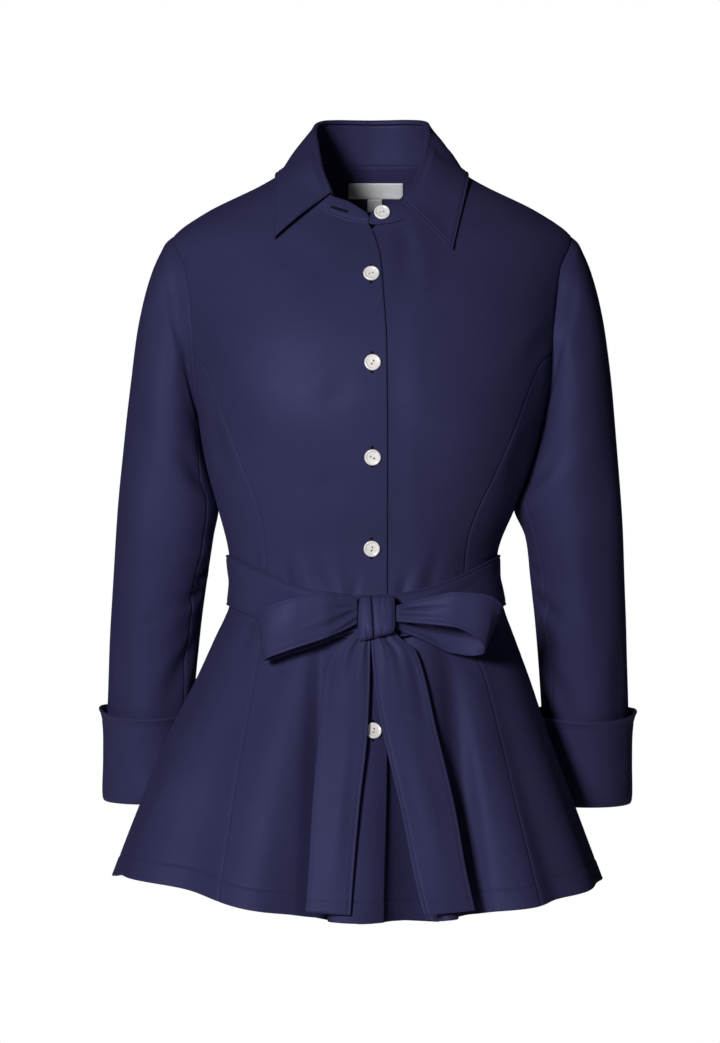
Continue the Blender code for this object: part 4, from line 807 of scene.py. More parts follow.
def inset_line(grid, normals, edge, distance=EDGE_STITCH_INSET):
    """Line on a grid at a distance in from one edge, with the cloth's directions there."""
    if edge in ("start", "end"):
        grid, normals = np.swapaxes(grid, 0, 1), np.swapaxes(normals, 0, 1)
    if edge in ("top", "end"):
        grid, normals = grid[::-1], normals[::-1]
    arcs = arc_lengths(grid, 0)
    places, directions = (np.array([read_points(distance, arcs[:, j], rows[:, j])
                                    for j in range(grid.shape[1])]) for rows in (grid, normals))
    return places, unit(directions)


def resample(places, directions, step):
    """Points at an even step along a line, with their directions."""
    arcs = arc_lengths(places, 0)
    count = max(1, int(arcs[-1] / step))
    at = (np.arange(count) + 0.5) * arcs[-1] / count
    return read_points(at, arcs, places), unit(read_points(at, arcs, directions))


def ring_rays(up, along, sides, turn=0.0, flat=1.0):
    """Directions round lines in even steps, and the upward ones made square to the lines."""
    aside = unit(np.cross(up, along))
    up = unit(np.cross(along, aside))
    turns = [math.tau * (k + turn) / sides for k in range(sides)]
    return [aside * math.cos(around) + up * math.sin(around) * flat for around in turns], up


def stitches(name, lines, material):
    """One mesh of small sewn stitches along lines of (places, directions)."""
    rows = [row for row in (resample(*line, STITCH_PITCH) for line in lines) if len(row[0]) > 1]
    centre, up = (np.concatenate(parts) for parts in zip(*rows))
    along = np.concatenate([unit(np.gradient(middle, axis=0)) for middle, _ in rows])
    rays, up = ring_rays(up, along, STITCH_SIDES, 0.25)
    verts = []
    for share, thickness, dive in STITCH_RINGS:
        spine = centre + along * share * STITCH_LENGTH + up * (dive * STITCH_RADIUS - STITCH_SINK)
        verts += [spine + ray * STITCH_RADIUS * thickness for ray in rays]
    verts = np.stack(verts, axis=1)
    template = ring_faces(len(STITCH_RINGS), STITCH_SIDES)
    size = verts.shape[1]
    faces = [[stitch * size + v for v in face] for stitch in range(len(centre)) for face in template]
    return add_mesh(name, verts.reshape(-1, 3), faces, material, outward=False)


def tube(name, places, radius, material, ups=None):
    """Round bar along a line of points; with directions it is closed, and flatter along them."""
    closed = ups is not None
    if closed:
        along = unit(np.roll(places, -1, axis=0) - np.roll(places, 1, axis=0))
    else:
        along, ups = unit(np.gradient(places, axis=0)), np.tile((0.0, 0.0, 1.0), (len(places), 1))
    rays, _ = ring_rays(unit(ups), along, TUBE_SIDES, flat=HOLE_FLATNESS if closed else 1.0)
    verts = places[:, None, :] + np.stack(rays, axis=1) * radius
    return add_mesh(name, verts.reshape(-1, 3), ring_faces(len(places), TUBE_SIDES, closed), material)


def merged(pieces):
    """Corner places and faces of several pieces together."""
    verts, faces = [], []
    for piece in pieces:
        base = len(verts)
        verts += [v.co[:] for v in piece.data.vertices]
        faces += [[base + v for v in face.vertices] for face in piece.data.polygons]
    return verts, faces


class Nodes:
    """Short calls for building a material's node tree. Each adds a node and gives one of its outputs."""

    def __init__(self, name, roughness, **sockets):
        self.material = bpy.data.materials.new(name)
        self.material.use_nodes = True
        self.tree = self.material.node_tree
        self.shader = self.tree.nodes["Principled BSDF"]
        self.feed(self.shader, {"Roughness": roughness, **sockets})

    def feed(self, node, inputs):
        for name, value in inputs.items():
            socket = node.inputs[name.replace("_", " ") if isinstance(name, str) else name]
            if isinstance(value, bpy.types.NodeSocket):
                self.tree.links.new(value, socket)
            else:
                socket.default_value = value

    def add(self, kind, output, **inputs):
        node = self.tree.nodes.new("ShaderNode" + kind)
        self.feed(node, inputs)
        return node.outputs[output]

    def turned(self, vector, angle):
        return self.add("Mapping", "Vector", Vector=vector, Rotation=(0.0, 0.0, math.radians(angle)))

    def noise(self, vector, scale, detail=2.0, distortion=0.0):
        return self.add("TexNoise", "Fac", Vector=vector, Scale=scale, Detail=detail, Distortion=distortion)

    def bands(self, vector, angle, scale, distortion):
        vector = self.turned(vector, angle)
        return self.add("TexWave", "Fac", Vector=vector, Scale=scale, Distortion=distortion)

    def ramp(self, value, low, high, from_low=0.0, from_high=1.0):
        return self.add("MapRange", "Result", Value=value, From_Min=from_low, From_Max=from_high, To_Min=low,
                        To_Max=high)

    def math(self, operation, first, second):
        node = self.tree.nodes.new("ShaderNodeMath")
        node.operation = operation
        self.feed(node, {0: first, 1: second})
        return node.outputs["Value"]

    def mix(self, factor, first, second):
        node = self.tree.nodes.new("ShaderNodeMix")
        node.data_type = "RGBA"
        self.feed(node, {0: factor, 6: first, 7: second})
        return node.outputs[2]

    def finish(self, colour, height=None, strength=0.0, distance=0.0, roughness=None):
        inputs = {"Base Color": colour}
        if roughness is not None:
            inputs["Roughness"] = roughness
        if height is not None:
            inputs["Normal"] = self.add("Bump", "Normal", Height=height, Strength=strength, Distance=distance)
        self.feed(self.shader, inputs)
        return self.material


def dimmed(colour, share):
    return tuple(share * c for c in colour[:3]) + (1.0,)


def sateen(name, dark, light, roughness):
    """Fine twill-faced cotton: steep weave lines, mottled yarn, a soft sheen and painted shade in its
    hollows.
    """
    nodes = Nodes(name, roughness, Sheen_Weight=0.05, Sheen_Roughness=0.5, Sheen_Tint=(0.3, 0.32, 0.75, 1.0),
                  Specular_IOR_Level=0.14, Specular_Tint=(0.45, 0.45, 1.0, 1.0))
    cloth = nodes.add("TexCoord", "UV")
    mottle = nodes.noise(nodes.add("TexCoord", "Object"), 11.0, 3.0)
    yarn = nodes.noise(nodes.turned(cloth, 8.0), 420.0, 3.0, 0.4)
    shade = nodes.ramp(nodes.math("ADD", nodes.ramp(mottle, 0.0, 0.62), nodes.ramp(yarn, 0.0, 0.38)),
                       0.0, 1.0, 0.28, 0.72)
    # painted shade: concave places, found by pointiness, darken towards a quarter of the dark colour
    cavity_shade = nodes.ramp(nodes.add("NewGeometry", "Pointiness"), 0.75, 0.0, 0.4, 0.495)
    colour = nodes.mix(cavity_shade, nodes.mix(shade, dark, light), dimmed(dark, 0.25))
    weave = nodes.bands(cloth, WEAVE_TURN, 400.0, 0.6)
    cross = nodes.bands(cloth, WEAVE_TURN - 90.0, 260.0, 0.8)
    height = nodes.math("ADD", nodes.math("MULTIPLY", weave, nodes.ramp(cross, 0.6, 1.0)),
                        nodes.ramp(yarn, 0.0, 0.8))
    rough = nodes.ramp(nodes.noise(cloth, 160.0), roughness - 0.05, roughness + 0.07)
    return nodes.finish(colour, height, 0.26, 0.00016, rough)


def thread(name, dark, light, gloss):
    nodes = Nodes(name, 0.62, Sheen_Weight=gloss, Specular_IOR_Level=gloss)
    here = nodes.add("TexCoord", "Object")
    return nodes.finish(nodes.mix(nodes.noise(here, 300.0), dark, light),
                        nodes.bands(here, 40.0, 900.0, 0.5), 0.5, 0.0001)


def pearl(name):
    nodes = Nodes(name, 0.24, Coat_Weight=0.55, Coat_Roughness=0.08, Specular_IOR_Level=0.55)
    here = nodes.add("TexCoord", "Object")
    swirl, clouds = nodes.noise(here, 130.0, 4.0, 2.2), nodes.noise(here, 52.0, 2.0, 1.0)
    warm = nodes.mix(nodes.ramp(clouds, 0.0, 1.0, 0.35, 0.65), PEARL_WARM, PEARL_COOL)
    colour = nodes.mix(nodes.ramp(swirl, 0.0, 0.85, 0.35, 0.7), warm, PEARL_LIGHT)
    return nodes.finish(colour, swirl, 0.1, 0.0002, nodes.ramp(swirl, 0.17, 0.33))


def satin_label(name):
    nodes = Nodes(name, 0.42, Sheen_Weight=0.2, Specular_IOR_Level=0.45)
    cloth = nodes.add("TexCoord", "UV")
    ribs = nodes.bands(cloth, 90.0, 620.0, 0.2)
    colour = nodes.mix(nodes.noise(cloth, 240.0, 3.0), LABEL_DARK, LABEL_LIGHT)
    return nodes.finish(colour, ribs, 0.4, 0.0001, nodes.ramp(ribs, 0.36, 0.5))


def plain(name, colour, roughness):
    nodes = Nodes(name, roughness)
    here = nodes.add("TexCoord", "Object")
    return nodes.finish(nodes.mix(nodes.noise(here, 3.0), colour, dimmed(colour, 0.985)))


def spaced(low, high, step):
    """Heights from low up to just under high, about a step apart."""
    return np.linspace(low, high, max(1, round((high - low) / step)) + 1)[:-1]


def trunk_heights():
    """Rows of all trunk panels up to the armhole's top: fine at the hem, even along the armhole's oval."""
    oval = ARMHOLE_MIDDLE_Z + ARMHOLE_HALF_HEIGHT * np.cos(np.linspace(math.pi, 0.0, ARMHOLE_STEPS + 1))
    return np.concatenate((spaced(HEM_Z, HEM_ROWS_TOP_Z, HEM_ROW_STEP),
                           spaced(HEM_ROWS_TOP_Z, ARMHOLE_LOW_Z, ROW_STEP), oval))


def seam_angle(side, facing, z):
    """Angle of a princess seam, which runs into the armhole at its top."""
    name, to_angle = ("front_", front_angle) if facing > 0 else ("back_", back_angle)
    join = ease((z - (SEAM_TOP_Z - SEAM_JOIN)) / SEAM_JOIN)
    seam = to_angle(SEAMS.at(name + SIDES[side], z), z)
    return seam * (1.0 - join) + side * armhole_angle(z, facing) * join


def centre_edge(side, facing, z):
    """Where a centre panel ends: at its seam, above that at the armhole's edge, then at the side line."""
    seam = np.abs(seam_angle(side, facing, np.minimum(z, SEAM_TOP_Z)))
    return np.where(z > ARMHOLE_TOP_Z, 90.0, np.where(z > SEAM_TOP_Z, armhole_angle(z, facing), seam))


def panel(name, heights, start, end, columns, material, seams, inset=None):
    """Panel of the trunk between two angle functions, with the line of its hem's stitches."""
    z = heights[:, None]
    first, last = start(z), end(z)
    angle = first + (last - first) * spread_shares(columns)
    surface, normal = body_surface(angle, z), body_normal(angle, z)
    x, up = surface[..., 0], surface[..., 2]
    front, back = (crease_field(x, up, [row[1:] for row in TRUNK_CREASES if row[0] == face])
                   for face in (1, -1))
    sink = np.where(np.cos(np.radians(angle)) > 0.0, front, back)
    sink -= ripples(DEGREE_ARC * ((angle + 180.0) % 360.0), up) * 0.8
    if inset is not None:
        sink = sink + inset(angle, z)
    rows, across = arc_lengths(surface, 0), arc_lengths(surface, 1)
    for edge in seams:
        sink = sink + seam_dip(across if edge == "start" else across[:, -1:] - across, rows)
    hem = rows - HEM_STITCH_RISE
    sink = sink + groove(hem, across) - HEM_PROUD * (1.0 - ease((hem + HEM_STEP) / HEM_STEP))
    outer = surface - normal * sink[..., None]
    piece = mount_cloth(name, outer, outer - normal * CLOTH, material, doubled=False)
    return piece, [inset_line(outer, normal, "bottom", HEM_STITCH_RISE)]


def front_centre(side, material):
    """Centre front of one side, -1 for the right and 1 for the left."""
    def start(z):
        x = EDGES.at("upper" if side < 0 else "under", z)
        open_neck = z > NECK_SIDE_Z - NECK_FRONT_DROP
        return front_angle(np.where(open_neck, side * np.maximum(side * x, neck_front_x(z)), x), z)

    def inset(angle, z):
        x, down = body_surface(angle, z)[..., 0], flare(z)
        falls = sum(depth * near(x - high - (low - high) * down, width)
                    for face, high, low, width, depth in PLEAT_ROWS if face == side)
        lap = (LAP_DEPTH + HEM_LAP_DEPTH * down) * (1.0 - ease((x - LAP_FULL_X) / (LAP_END_X - LAP_FULL_X)))
        return down ** PLEAT_POWER * falls + (lap if side > 0 else 0.0)

    neck = NECK_SIDE_Z - NECK_FRONT_DROP * np.sin(np.radians(np.linspace(87.0, 3.0, NECK_STEPS)))
    return panel("front_centre_" + SIDES[side], np.sort(np.concatenate((trunk_heights(), neck))), start,
                 lambda z: side * centre_edge(side, 1, z), CENTRE_COLUMNS, material, ("end",), inset)


def side_panel(side, facing, material):
    """Side panel of one side (-1 right, 1 left), at the front (facing 1) or the back (facing -1)."""
    heights = trunk_heights()
    return panel("%s_side_%s" % ("front" if facing > 0 else "back", SIDES[side]),
                 heights[heights < SEAM_TOP_Z - 0.0005], lambda z: seam_angle(side, facing, z),
                 lambda z: side * np.where(z > ARMHOLE_LOW_Z, armhole_angle(z, facing), 90.0),
                 SIDE_COLUMNS, material, ("start", "end"))


def back_centre(material):
    shoulder = spaced(ARMHOLE_TOP_Z + 0.002, BACK_NECK_Z, ROW_STEP)
    return panel("back_centre", np.concatenate((trunk_heights(), shoulder, [BACK_NECK_Z])),
                 lambda z: centre_edge(1, -1, z), lambda z: 360.0 - centre_edge(-1, -1, z),
                 BACK_COLUMNS, material, ("start", "end"))


def sleeve_point(side, outer_z, turn, out=0.0, level=False):
    """Point of a sleeve's section: turn is 0 at its outer line, 90 at the front, 180 at the inner line."""
    down = np.clip((outer_z - ARMHOLE_TOP_Z) / (SLEEVE_END_Z - ARMHOLE_TOP_Z), 0.0, 1.2)
    swing = SLEEVE_SWING[SIDES[side]] * down
    inner_z = outer_z if level else SLEEVE.at("inner_z", outer_z)
    body_side = np.abs(body_surface(side * 90.0, inner_z)[..., 0])
    inner_x = SLEEVE.at("inner_x", outer_z) + swing
    inner_x = np.where(inner_z > WAIST_Z, np.maximum(inner_x, body_side + SLEEVE_CLEARANCE), inner_x)
    touching = ease((inner_z - SLEEVE_PART_Z) / SLEEVE_PART_HEIGHT)
    inner_x = inner_x + (body_side - SLEEVE_PRESS - inner_x) * touching
    outer_x = SLEEVE.at("outer_x", outer_z) + swing
    around = np.radians(turn)
    middle = point(0.5 * (outer_x + inner_x), SLEEVE.at("centre_y", outer_z), 0.5 * (outer_z + inner_z))
    reach = point(0.5 * (outer_x - inner_x), 0.0, 0.5 * (outer_z - inner_z))
    depth = -SLEEVE.at("half_depth", outer_z) * np.sin(around)
    place = middle + reach * np.cos(around)[..., None] + point(0.0, depth, 0.0)
    sink = sum(deep * bump(turn, angle, spread) * np.exp(-0.5 * ((place[..., 2] - z) / height) ** 2)
               for angle, z, spread, height, deep in CREASE_ROWS)
    outward = unit(point(np.linalg.norm(reach, axis=-1) * np.cos(around), depth, 0.0))
    return (place + outward * (out - sink)[..., None]) * np.array((side, 1.0, 1.0))


def armhole_ring(side, turn):
    """Points of the armhole's edge on the body surface, with the surface's directions there."""
    around = np.radians(turn)
    z = ARMHOLE_MIDDLE_Z + ARMHOLE_HALF_HEIGHT * np.cos(around)
    reach = ARMHOLE_HALF_DEPTH * np.abs(np.sin(around))
    angle = side * np.where(np.sin(around) >= 0.0, armhole_angle(z, 1, reach), armhole_angle(z, -1, reach))
    return body_surface(angle, z), body_normal(angle, z)


def sleeve_turns(part):
    """Ring angles of the upper or the under sleeve between its two seams."""
    front, back = (math.degrees(math.acos((z - ARMHOLE_MIDDLE_Z) / ARMHOLE_HALF_HEIGHT))
                   for z in (FRONT_SEAM_Z, BACK_SEAM_Z))
    if part == "upper":
        return -back + (front + back) * spread_shares(UPPER_SLEEVE_COLUMNS, 0.3)
    return front + (360.0 - back - front) * spread_shares(UNDER_SLEEVE_COLUMNS, 0.5)


def sleeve_piece(side, part, material):
    """One piece of a sleeve: smooth rows from the armhole's ring down, creases and seams sunk in."""
    turns = sleeve_turns(part)
    edge, edge_normal = armhole_ring(side, turns)
    surface = smooth_rows([edge] + [sleeve_point(side, row[0], turns) for row in SLEEVE_ROWS], SLEEVE_STEPS)
    normal = grid_normals(surface) * side
    normal[0] = edge_normal
    turn, z = turns[None, :] % 360.0, surface[..., 2]
    arc = turn * SLEEVE_ARC
    sink = crease_field(arc, z, ring_creases(SLEEVE_CREASES[SIDES[side]])) * ease((-0.075 - z) / 0.03)
    sink = sink - ripples(arc + side, z) * 0.9
    sink = sink * (1.0 - bump(turn, 180.0, 16.0) * ease((z - SLEEVE_PART_Z) / 0.03))
    down, across = arc_lengths(surface, 0), arc_lengths(surface, 1)
    sink += seam_dip(across, down) + seam_dip(across[:, -1:] - across, down) + seam_dip(down, across)
    sink -= SLEEVE_HEAD * near(down - SLEEVE_HEAD_PLACE, SLEEVE_HEAD_WIDTH)
    outer = surface - normal * sink[..., None]
    name = "sleeve_%s_%s" % (part, SIDES[side])
    return mount_cloth(name, outer, outer - normal * CLOTH, material, doubled=False)


def cuff(side, material):
    """Turned-back cuff: a closed folded band round the sleeve's end, its rim standing off a little."""
    name, fold_z, turns = SIDES[side], CUFF_FOLD_Z[SIDES[side]], ring_turns(CUFF_COLUMNS)
    front = np.sin(np.radians(turns))
    rings = []
    for out, rise in CUFF_ROWS:
        ring = sleeve_point(side, max(fold_z + rise, SLEEVE_END_Z), turns, out, level=True)
        ring[:, 2] = fold_z + rise * (1.0 - CUFF_RIM_DIP * np.maximum(0.0, front) * ease(rise / 0.06))
        rings.append(ring)
    closed = smooth_rows(rings + rings[:1], CUFF_STEPS)[:-1]
    away = closed - sleeve_point(side, fold_z, np.array((0.0, 180.0)), level=True).mean(axis=0)
    away = unit(away * LEVEL)
    outer_face = ease(np.arange(len(closed)) / CUFF_STEPS - CUFF_OUTER_ROW)[:, None]
    arc, z = np.radians(turns)[None, :] * CUFF_RADIUS, closed[..., 2]
    line = CUFF_STITCH_RISE - CUFF_STITCH_DIP * front
    relief = ripples(arc + 3.0 * side, z) * 0.8 - groove(z - fold_z - line, arc) * outer_face
    creases = crease_field(turns[None, :] * SLEEVE_ARC, z - fold_z, ring_creases(CUFF_CREASES))
    surface = closed + away * (relief - creases * outer_face)[..., None]
    u, v = arc + 0.0 * z, arc_lengths(surface, 0)
    next_v = v + np.concatenate((np.diff(v, axis=0), np.full((1, CUFF_COLUMNS), 0.001)))
    uvs = cell_uv(u, u + math.tau * CUFF_RADIUS / CUFF_COLUMNS, v, next_v)
    piece = add_mesh("cuff_%s_cloth" % name, surface.reshape(-1, 3),
                     ring_faces(len(closed), CUFF_COLUMNS, closed=True), material, uvs)
    mount(piece, "navy_sateen_double", "cuff_" + name)
    first = int(CUFF_OUTER_ROW * CUFF_STEPS)
    face, out = (np.concatenate((rows[first:], rows[:1])) for rows in (surface, away))
    order = [np.argsort(face[:, j, 2]) for j in range(CUFF_COLUMNS)]
    sewn = [np.array([read_points(fold_z + line[j], face[order[j], j, 2], rows[order[j], j])
                      for j in range(CUFF_COLUMNS)]) for rows in (face, out)]
    return piece, [tuple(np.concatenate((rows, rows[:1])) for rows in sewn)]


def neck_point(neck_angle):
    """Points of the neckline on the body surface, round the neck from the centre front."""
    turn = np.radians(neck_angle)
    z = NECK_SIDE_Z - NECK_FRONT_DROP * np.cos(turn)
    front = body_surface(front_angle(NECK_HALF_WIDTH * np.sin(turn), z), z)
    back = body_surface(neck_angle, np.full(np.shape(neck_angle), NECK_SIDE_Z))
    return np.where((np.abs(neck_angle) <= 90.0)[..., None], front, back)


def collar_stations(side, count):
    """Neck angles, roll points and edge points of one side's collar, from the back to its front end."""
    rows = COLLAR_ROWS[SIDES[side]]
    table = Table(COLLAR_NAMES, rows)
    angle = rows[0][0] + (rows[-1][0] - rows[0][0]) * (1.0 - (1.0 - np.linspace(0.0, 1.0, count)) ** 1.7)
    roll, edge = (point(side * table.at(line + "_x", angle), table.at(line + "_y", angle),
                        table.at(line + "_z", angle)) for line in ("roll", "edge"))
    return side * angle, roll, edge


def stand_lines():
    """Neckline points and top points of the stand, from the right end to the left one."""
    lows, tops = [], []
    for side in SIDES:
        ends = STAND_END_ROWS[SIDES[side]]
        angle, roll, _ = collar_stations(side, STAND_STATIONS)
        low, top = neck_point(angle), roll - (0.0, 0.0, STAND_TOP_DROP)
        last = side * angle[-1]
        heights = Table(("angle", "height"), [(last, float(np.linalg.norm(top[-1] - low[-1])))] + ends)
        end_angle = np.linspace(last, ends[-1][0], STAND_END_STATIONS)[1:]
        end_low = neck_point(side * end_angle)
        end_top = end_low + unit(top[-1] - low[-1]) * heights.at("height", end_angle)[:, None]
        lows.append(np.concatenate((low, end_low)))
        tops.append(np.concatenate((top, end_top)))
    return [np.concatenate((right[::-1], left[1:])) for right, left in (lows, tops)]


def collar_stand(material):
    """The neck band, upright round the neck, with a sewn line inside where the leaf joins it."""
    low, top = stand_lines()
    up, away = unit(top - low), unit(low * LEVEL)
    out = unit(away - up * dot(away, up))
    share = np.linspace(0.0, 1.0, STAND_ROWS)[:, None, None]
    outer = (low - up * STAND_TUCK)[None] * (1.0 - share) + top[None] * share
    height, along = arc_lengths(outer, 0), arc_lengths(outer, 1)
    belly = STAND_BELLY * np.sin(math.pi * share[..., 0]) + ripples(along, height) * 0.5
    outer = outer + out[None] * (belly + STAND_PROUD)[..., None]
    line = STAND_LINE_Z - outer[..., 2]
    inner = outer - out[None] * (CLOTH + STAND_PROUD - groove(line, along))[..., None]
    outer = outer - out[None] * groove(height - EDGE_STITCH_INSET - STAND_TUCK, along)[..., None]
    piece = mount_cloth("collar_stand", outer, inner, material)
    normal = np.broadcast_to(out[None], outer.shape)
    lines = [inset_line(outer, normal, "bottom", EDGE_STITCH_INSET + STAND_TUCK)]
    lines += [inset_line(outer[2:], normal[2:], edge) for edge in ("start", "end")]
    ends = STAND_END_STATIONS + 4
    lines += [inset_line(outer[:, part], normal[:, part], "top")
              for part in (slice(ends), slice(-ends, None))]
    back = low[:, 1] > STAND_LINE_Y
    lines.append((inner[np.argmin(np.abs(line), axis=0), np.arange(len(low))][back], -out[back]))
    return piece, lines


def nearest_on_body(places):
    """Angles and heights on the body surface that lie closest to points."""
    x, y, z = places[..., 0], places[..., 1], np.clip(places[..., 2], HEM_Z, NECK_SIDE_Z)
    depth = np.where(y < 0.0, BODY.at("front", z), BODY.at("back", z))
    angle = np.degrees(np.arctan2((x - BODY.at("shift", z)) / BODY.at("half_width", z),
                                  -(y - BODY.at("widest_y", z)) / depth))
    for _ in range(10):
        away = places - body_surface(angle, z)
        across = body_surface(angle + 0.5, z) - body_surface(angle - 0.5, z)
        upward = (body_surface(angle, z + 0.001) - body_surface(angle, z - 0.001)) / 0.002
        aa, ab, bb, pa, pb = (dot(p, q)[..., 0] for p, q in (
            (across, across), (across, upward), (upward, upward), (away, across), (away, upward)))
        scale = np.maximum(aa * bb - ab * ab, 1e-15)
        angle = angle + np.clip((bb * pa - ab * pb) / scale, -6.0, 6.0)
        z = np.clip(z + np.clip((aa * pb - ab * pa) / scale, -0.015, 0.015), HEM_Z, NECK_SIDE_Z + 0.015)
    return angle, z


def clear_of_body(places, distance):
    """The points, moved out smoothly where they lie closer to the body surface than the distance."""
    angle, z = nearest_on_body(places)
    normal = body_normal(angle, z)
    missing = distance - dot(places - body_surface(angle, z), normal)
    return places + normal * 0.5 * (missing + np.sqrt(missing * missing + CLEAR_SOFTNESS ** 2))


def leaf_grid(side):
    """Upper and under faces of one side's collar leaf: over the fold and down to the edge."""
    _, roll, edge = collar_stations(side, LEAF_STATIONS)
    away = unit(roll * LEVEL)
    upper, under = [], []
    for around in np.radians(np.linspace(-30.0, 165.0, LEAF_FOLD_STEPS)):
        ray = np.array((0.0, 0.0, math.sin(around))) - away * math.cos(around)
        upper.append(roll + ray * LEAF_ROLL_RADIUS)
        under.append(roll + ray * (LEAF_ROLL_RADIUS - DOUBLE_CLOTH))
    start = roll + away * LEAF_ROLL_RADIUS
    fall = unit(edge - start)
    out = unit(away - fall * dot(away, fall))
    for share in 1.0 - 0.94 * np.linspace(1.0, 0.0, LEAF_FALL_STEPS) ** 1.8:
        belly = LEAF_BELLY * math.sin(math.pi * share)
        upper.append(clear_of_body(start + (edge - start) * share + out * belly, LEAF_CLEARANCE))
        under.append(upper[-1] - out * DOUBLE_CLOTH)
    return np.array(upper), np.array(under)


def collar_leaf(material):
    upper, under = (np.concatenate((right[:, ::-1], left[:, 1:]), axis=1)
                    for right, left in zip(leaf_grid(-1), leaf_grid(1)))
    normal = unit(upper - under)
    down, across = arc_lengths(upper, 0), arc_lengths(upper, 1)
    sink = crease_field(across, down, LEAF_CREASES) - ripples(across, down) * 0.6
    for reach, along in ((down[-1:] - down, across), (across, down), (across[:, -1:] - across, down)):
        sink = sink + groove(reach - EDGE_STITCH_INSET, along) * EDGE_PULL
        sink = sink + EDGE_THINNING * near(reach, EDGE_THINNING_WIDTH)
    upper = upper - normal * sink[..., None]
    piece = mount_cloth("collar_leaf", upper, under, material)
    fall, fall_normal = upper[LEAF_FOLD_STEPS:], normal[LEAF_FOLD_STEPS:]
    return piece, [inset_line(upper, normal, "top")] + [inset_line(fall, fall_normal, edge)
                                                        for edge in ("start", "end")]


def sash(material):
    """The sash round the waist, gathered towards the knot, with both its edges sewn."""
    angle = (ring_turns(SASH_COLUMNS) - 180.0)[None, :]
    share = spread_shares(SASH_ROWS, 0.5)[:, None]
    front = np.maximum(0.0, np.cos(np.radians(angle))) ** SASH_DROP_POWER
    height = SASH_HEIGHT - SASH_GATHER * front
    z = SASH_SIDE_Z - SASH_FRONT_DROP * front + height * (share - 0.5)
    surface, normal = body_surface(angle, z), body_normal(angle, z)
    sink = sum(depth * bump(angle, at, spread) * near(share - level - (angle - at) / spread * 0.1, width)
               for at, level, spread, width, depth in SASH_CREASES)
    arc, down = (angle + 180.0) * SASH_ARC, share * height
    for reach in (down, height - down):
        sink = sink + groove(reach - EDGE_STITCH_INSET, arc) * EDGE_PULL
    loose = SASH_BELLY * np.sin(math.pi * share) + ripples(arc, z) * 0.5
    outer = surface + normal * (SASH_CLEARANCE + DOUBLE_CLOTH + loose - sink)[..., None]
    piece = mount_cloth("belt", outer, outer - normal * DOUBLE_CLOTH, material, ring=True)
    return piece, [inset_line(outer, normal, edge) for edge in ("bottom", "top")]


def strip(name, front, material, flip):
    """Doubled strip behind a grid of points, with the stitch lines along its long edges."""
    normal = grid_normals(front) * flip
    back = front - normal * DOUBLE_CLOTH
    piece = mount_cloth(name, front, back, material)
    return piece, [inset_line(face, out, edge) for face, out in ((front, normal), (back, -normal))
                   for edge in ("start", "end")]


def strip_relief(along, across, width, creases):
    """Height of a strip's face: creases, its sewn edges and small unevenness."""
    metres = across * width
    relief = ripples(metres, along * 0.2) * 0.5 - crease_field(along, across, creases)
    return relief - groove(metres - EDGE_STITCH_INSET) - groove(width - metres - EDGE_STITCH_INSET)


def loop(side, material):
    name = "loop_" + SIDES[side]
    rows = LOOP_ROWS[SIDES[side]]
    table = Table(("station",) + LOOP_NAMES, [(float(i),) + row for i, row in enumerate(rows)])
    along = np.linspace(0.0, 1.0, LOOP_STATIONS)
    station = along * (len(rows) - 1)
    top, low = (np.stack([table.at(line + axis, station) for axis in "xyz"], axis=-1)
                for line in ("top_", "low_"))
    along, share = along[:, None], spread_shares(LOOP_COLUMNS, 0.5)[None, :]
    facing = np.tanh((station - 0.5 * len(rows)) * 1.5)[:, None]
    belly = LOOP_BELLY * np.sin(math.pi * share) * np.sin(math.pi * along) ** 2
    grid = top[:, None] * (1.0 - share[..., None]) + low[:, None] * share[..., None]
    grid = clear_of_body(grid + point(0.0, facing * belly, 0.0), LOOP_CLEARANCE)
    outward = unit(np.cross(np.gradient(grid, axis=0), np.gradient(grid, axis=1))) * -side
    width = np.linalg.norm(low - top, axis=-1)[:, None]
    relief = strip_relief(along, share, width, LOOP_CREASES[SIDES[side]])
    return strip(name, grid + outward * relief[..., None], material, side)


def tail(side, material):
    name = "tail_" + SIDES[side]
    rows = TAIL_ROWS[SIDES[side]]
    table, top, low = Table(TAIL_NAMES, rows), rows[0][0], rows[-1][0]
    along, share = np.linspace(0.0, 1.0, TAIL_STATIONS)[:, None], spread_shares(TAIL_COLUMNS, 0.5)[None, :]
    z = top + (low - top) * along
    right, left = table.at("right_x", z), table.at("left_x", z)
    angle = front_angle(right * (1.0 - share) + left * share, z)
    relief = strip_relief(along, share, left - right, TAIL_CREASES[SIDES[side]])
    relief -= groove((1.0 - along) * (top - low) - TAIL_HEM_RISE)
    lift = table.at("lift", z) + TAIL_BELLY * np.sin(math.pi * share) + relief
    outward = body_normal(angle, z, folded=False)
    grid = body_surface(angle, z, folded=False) + outward * lift[..., None]
    piece, lines = strip(name, grid, material, -1.0)
    return piece, lines + [inset_line(grid, outward, "top", TAIL_HEM_RISE)]


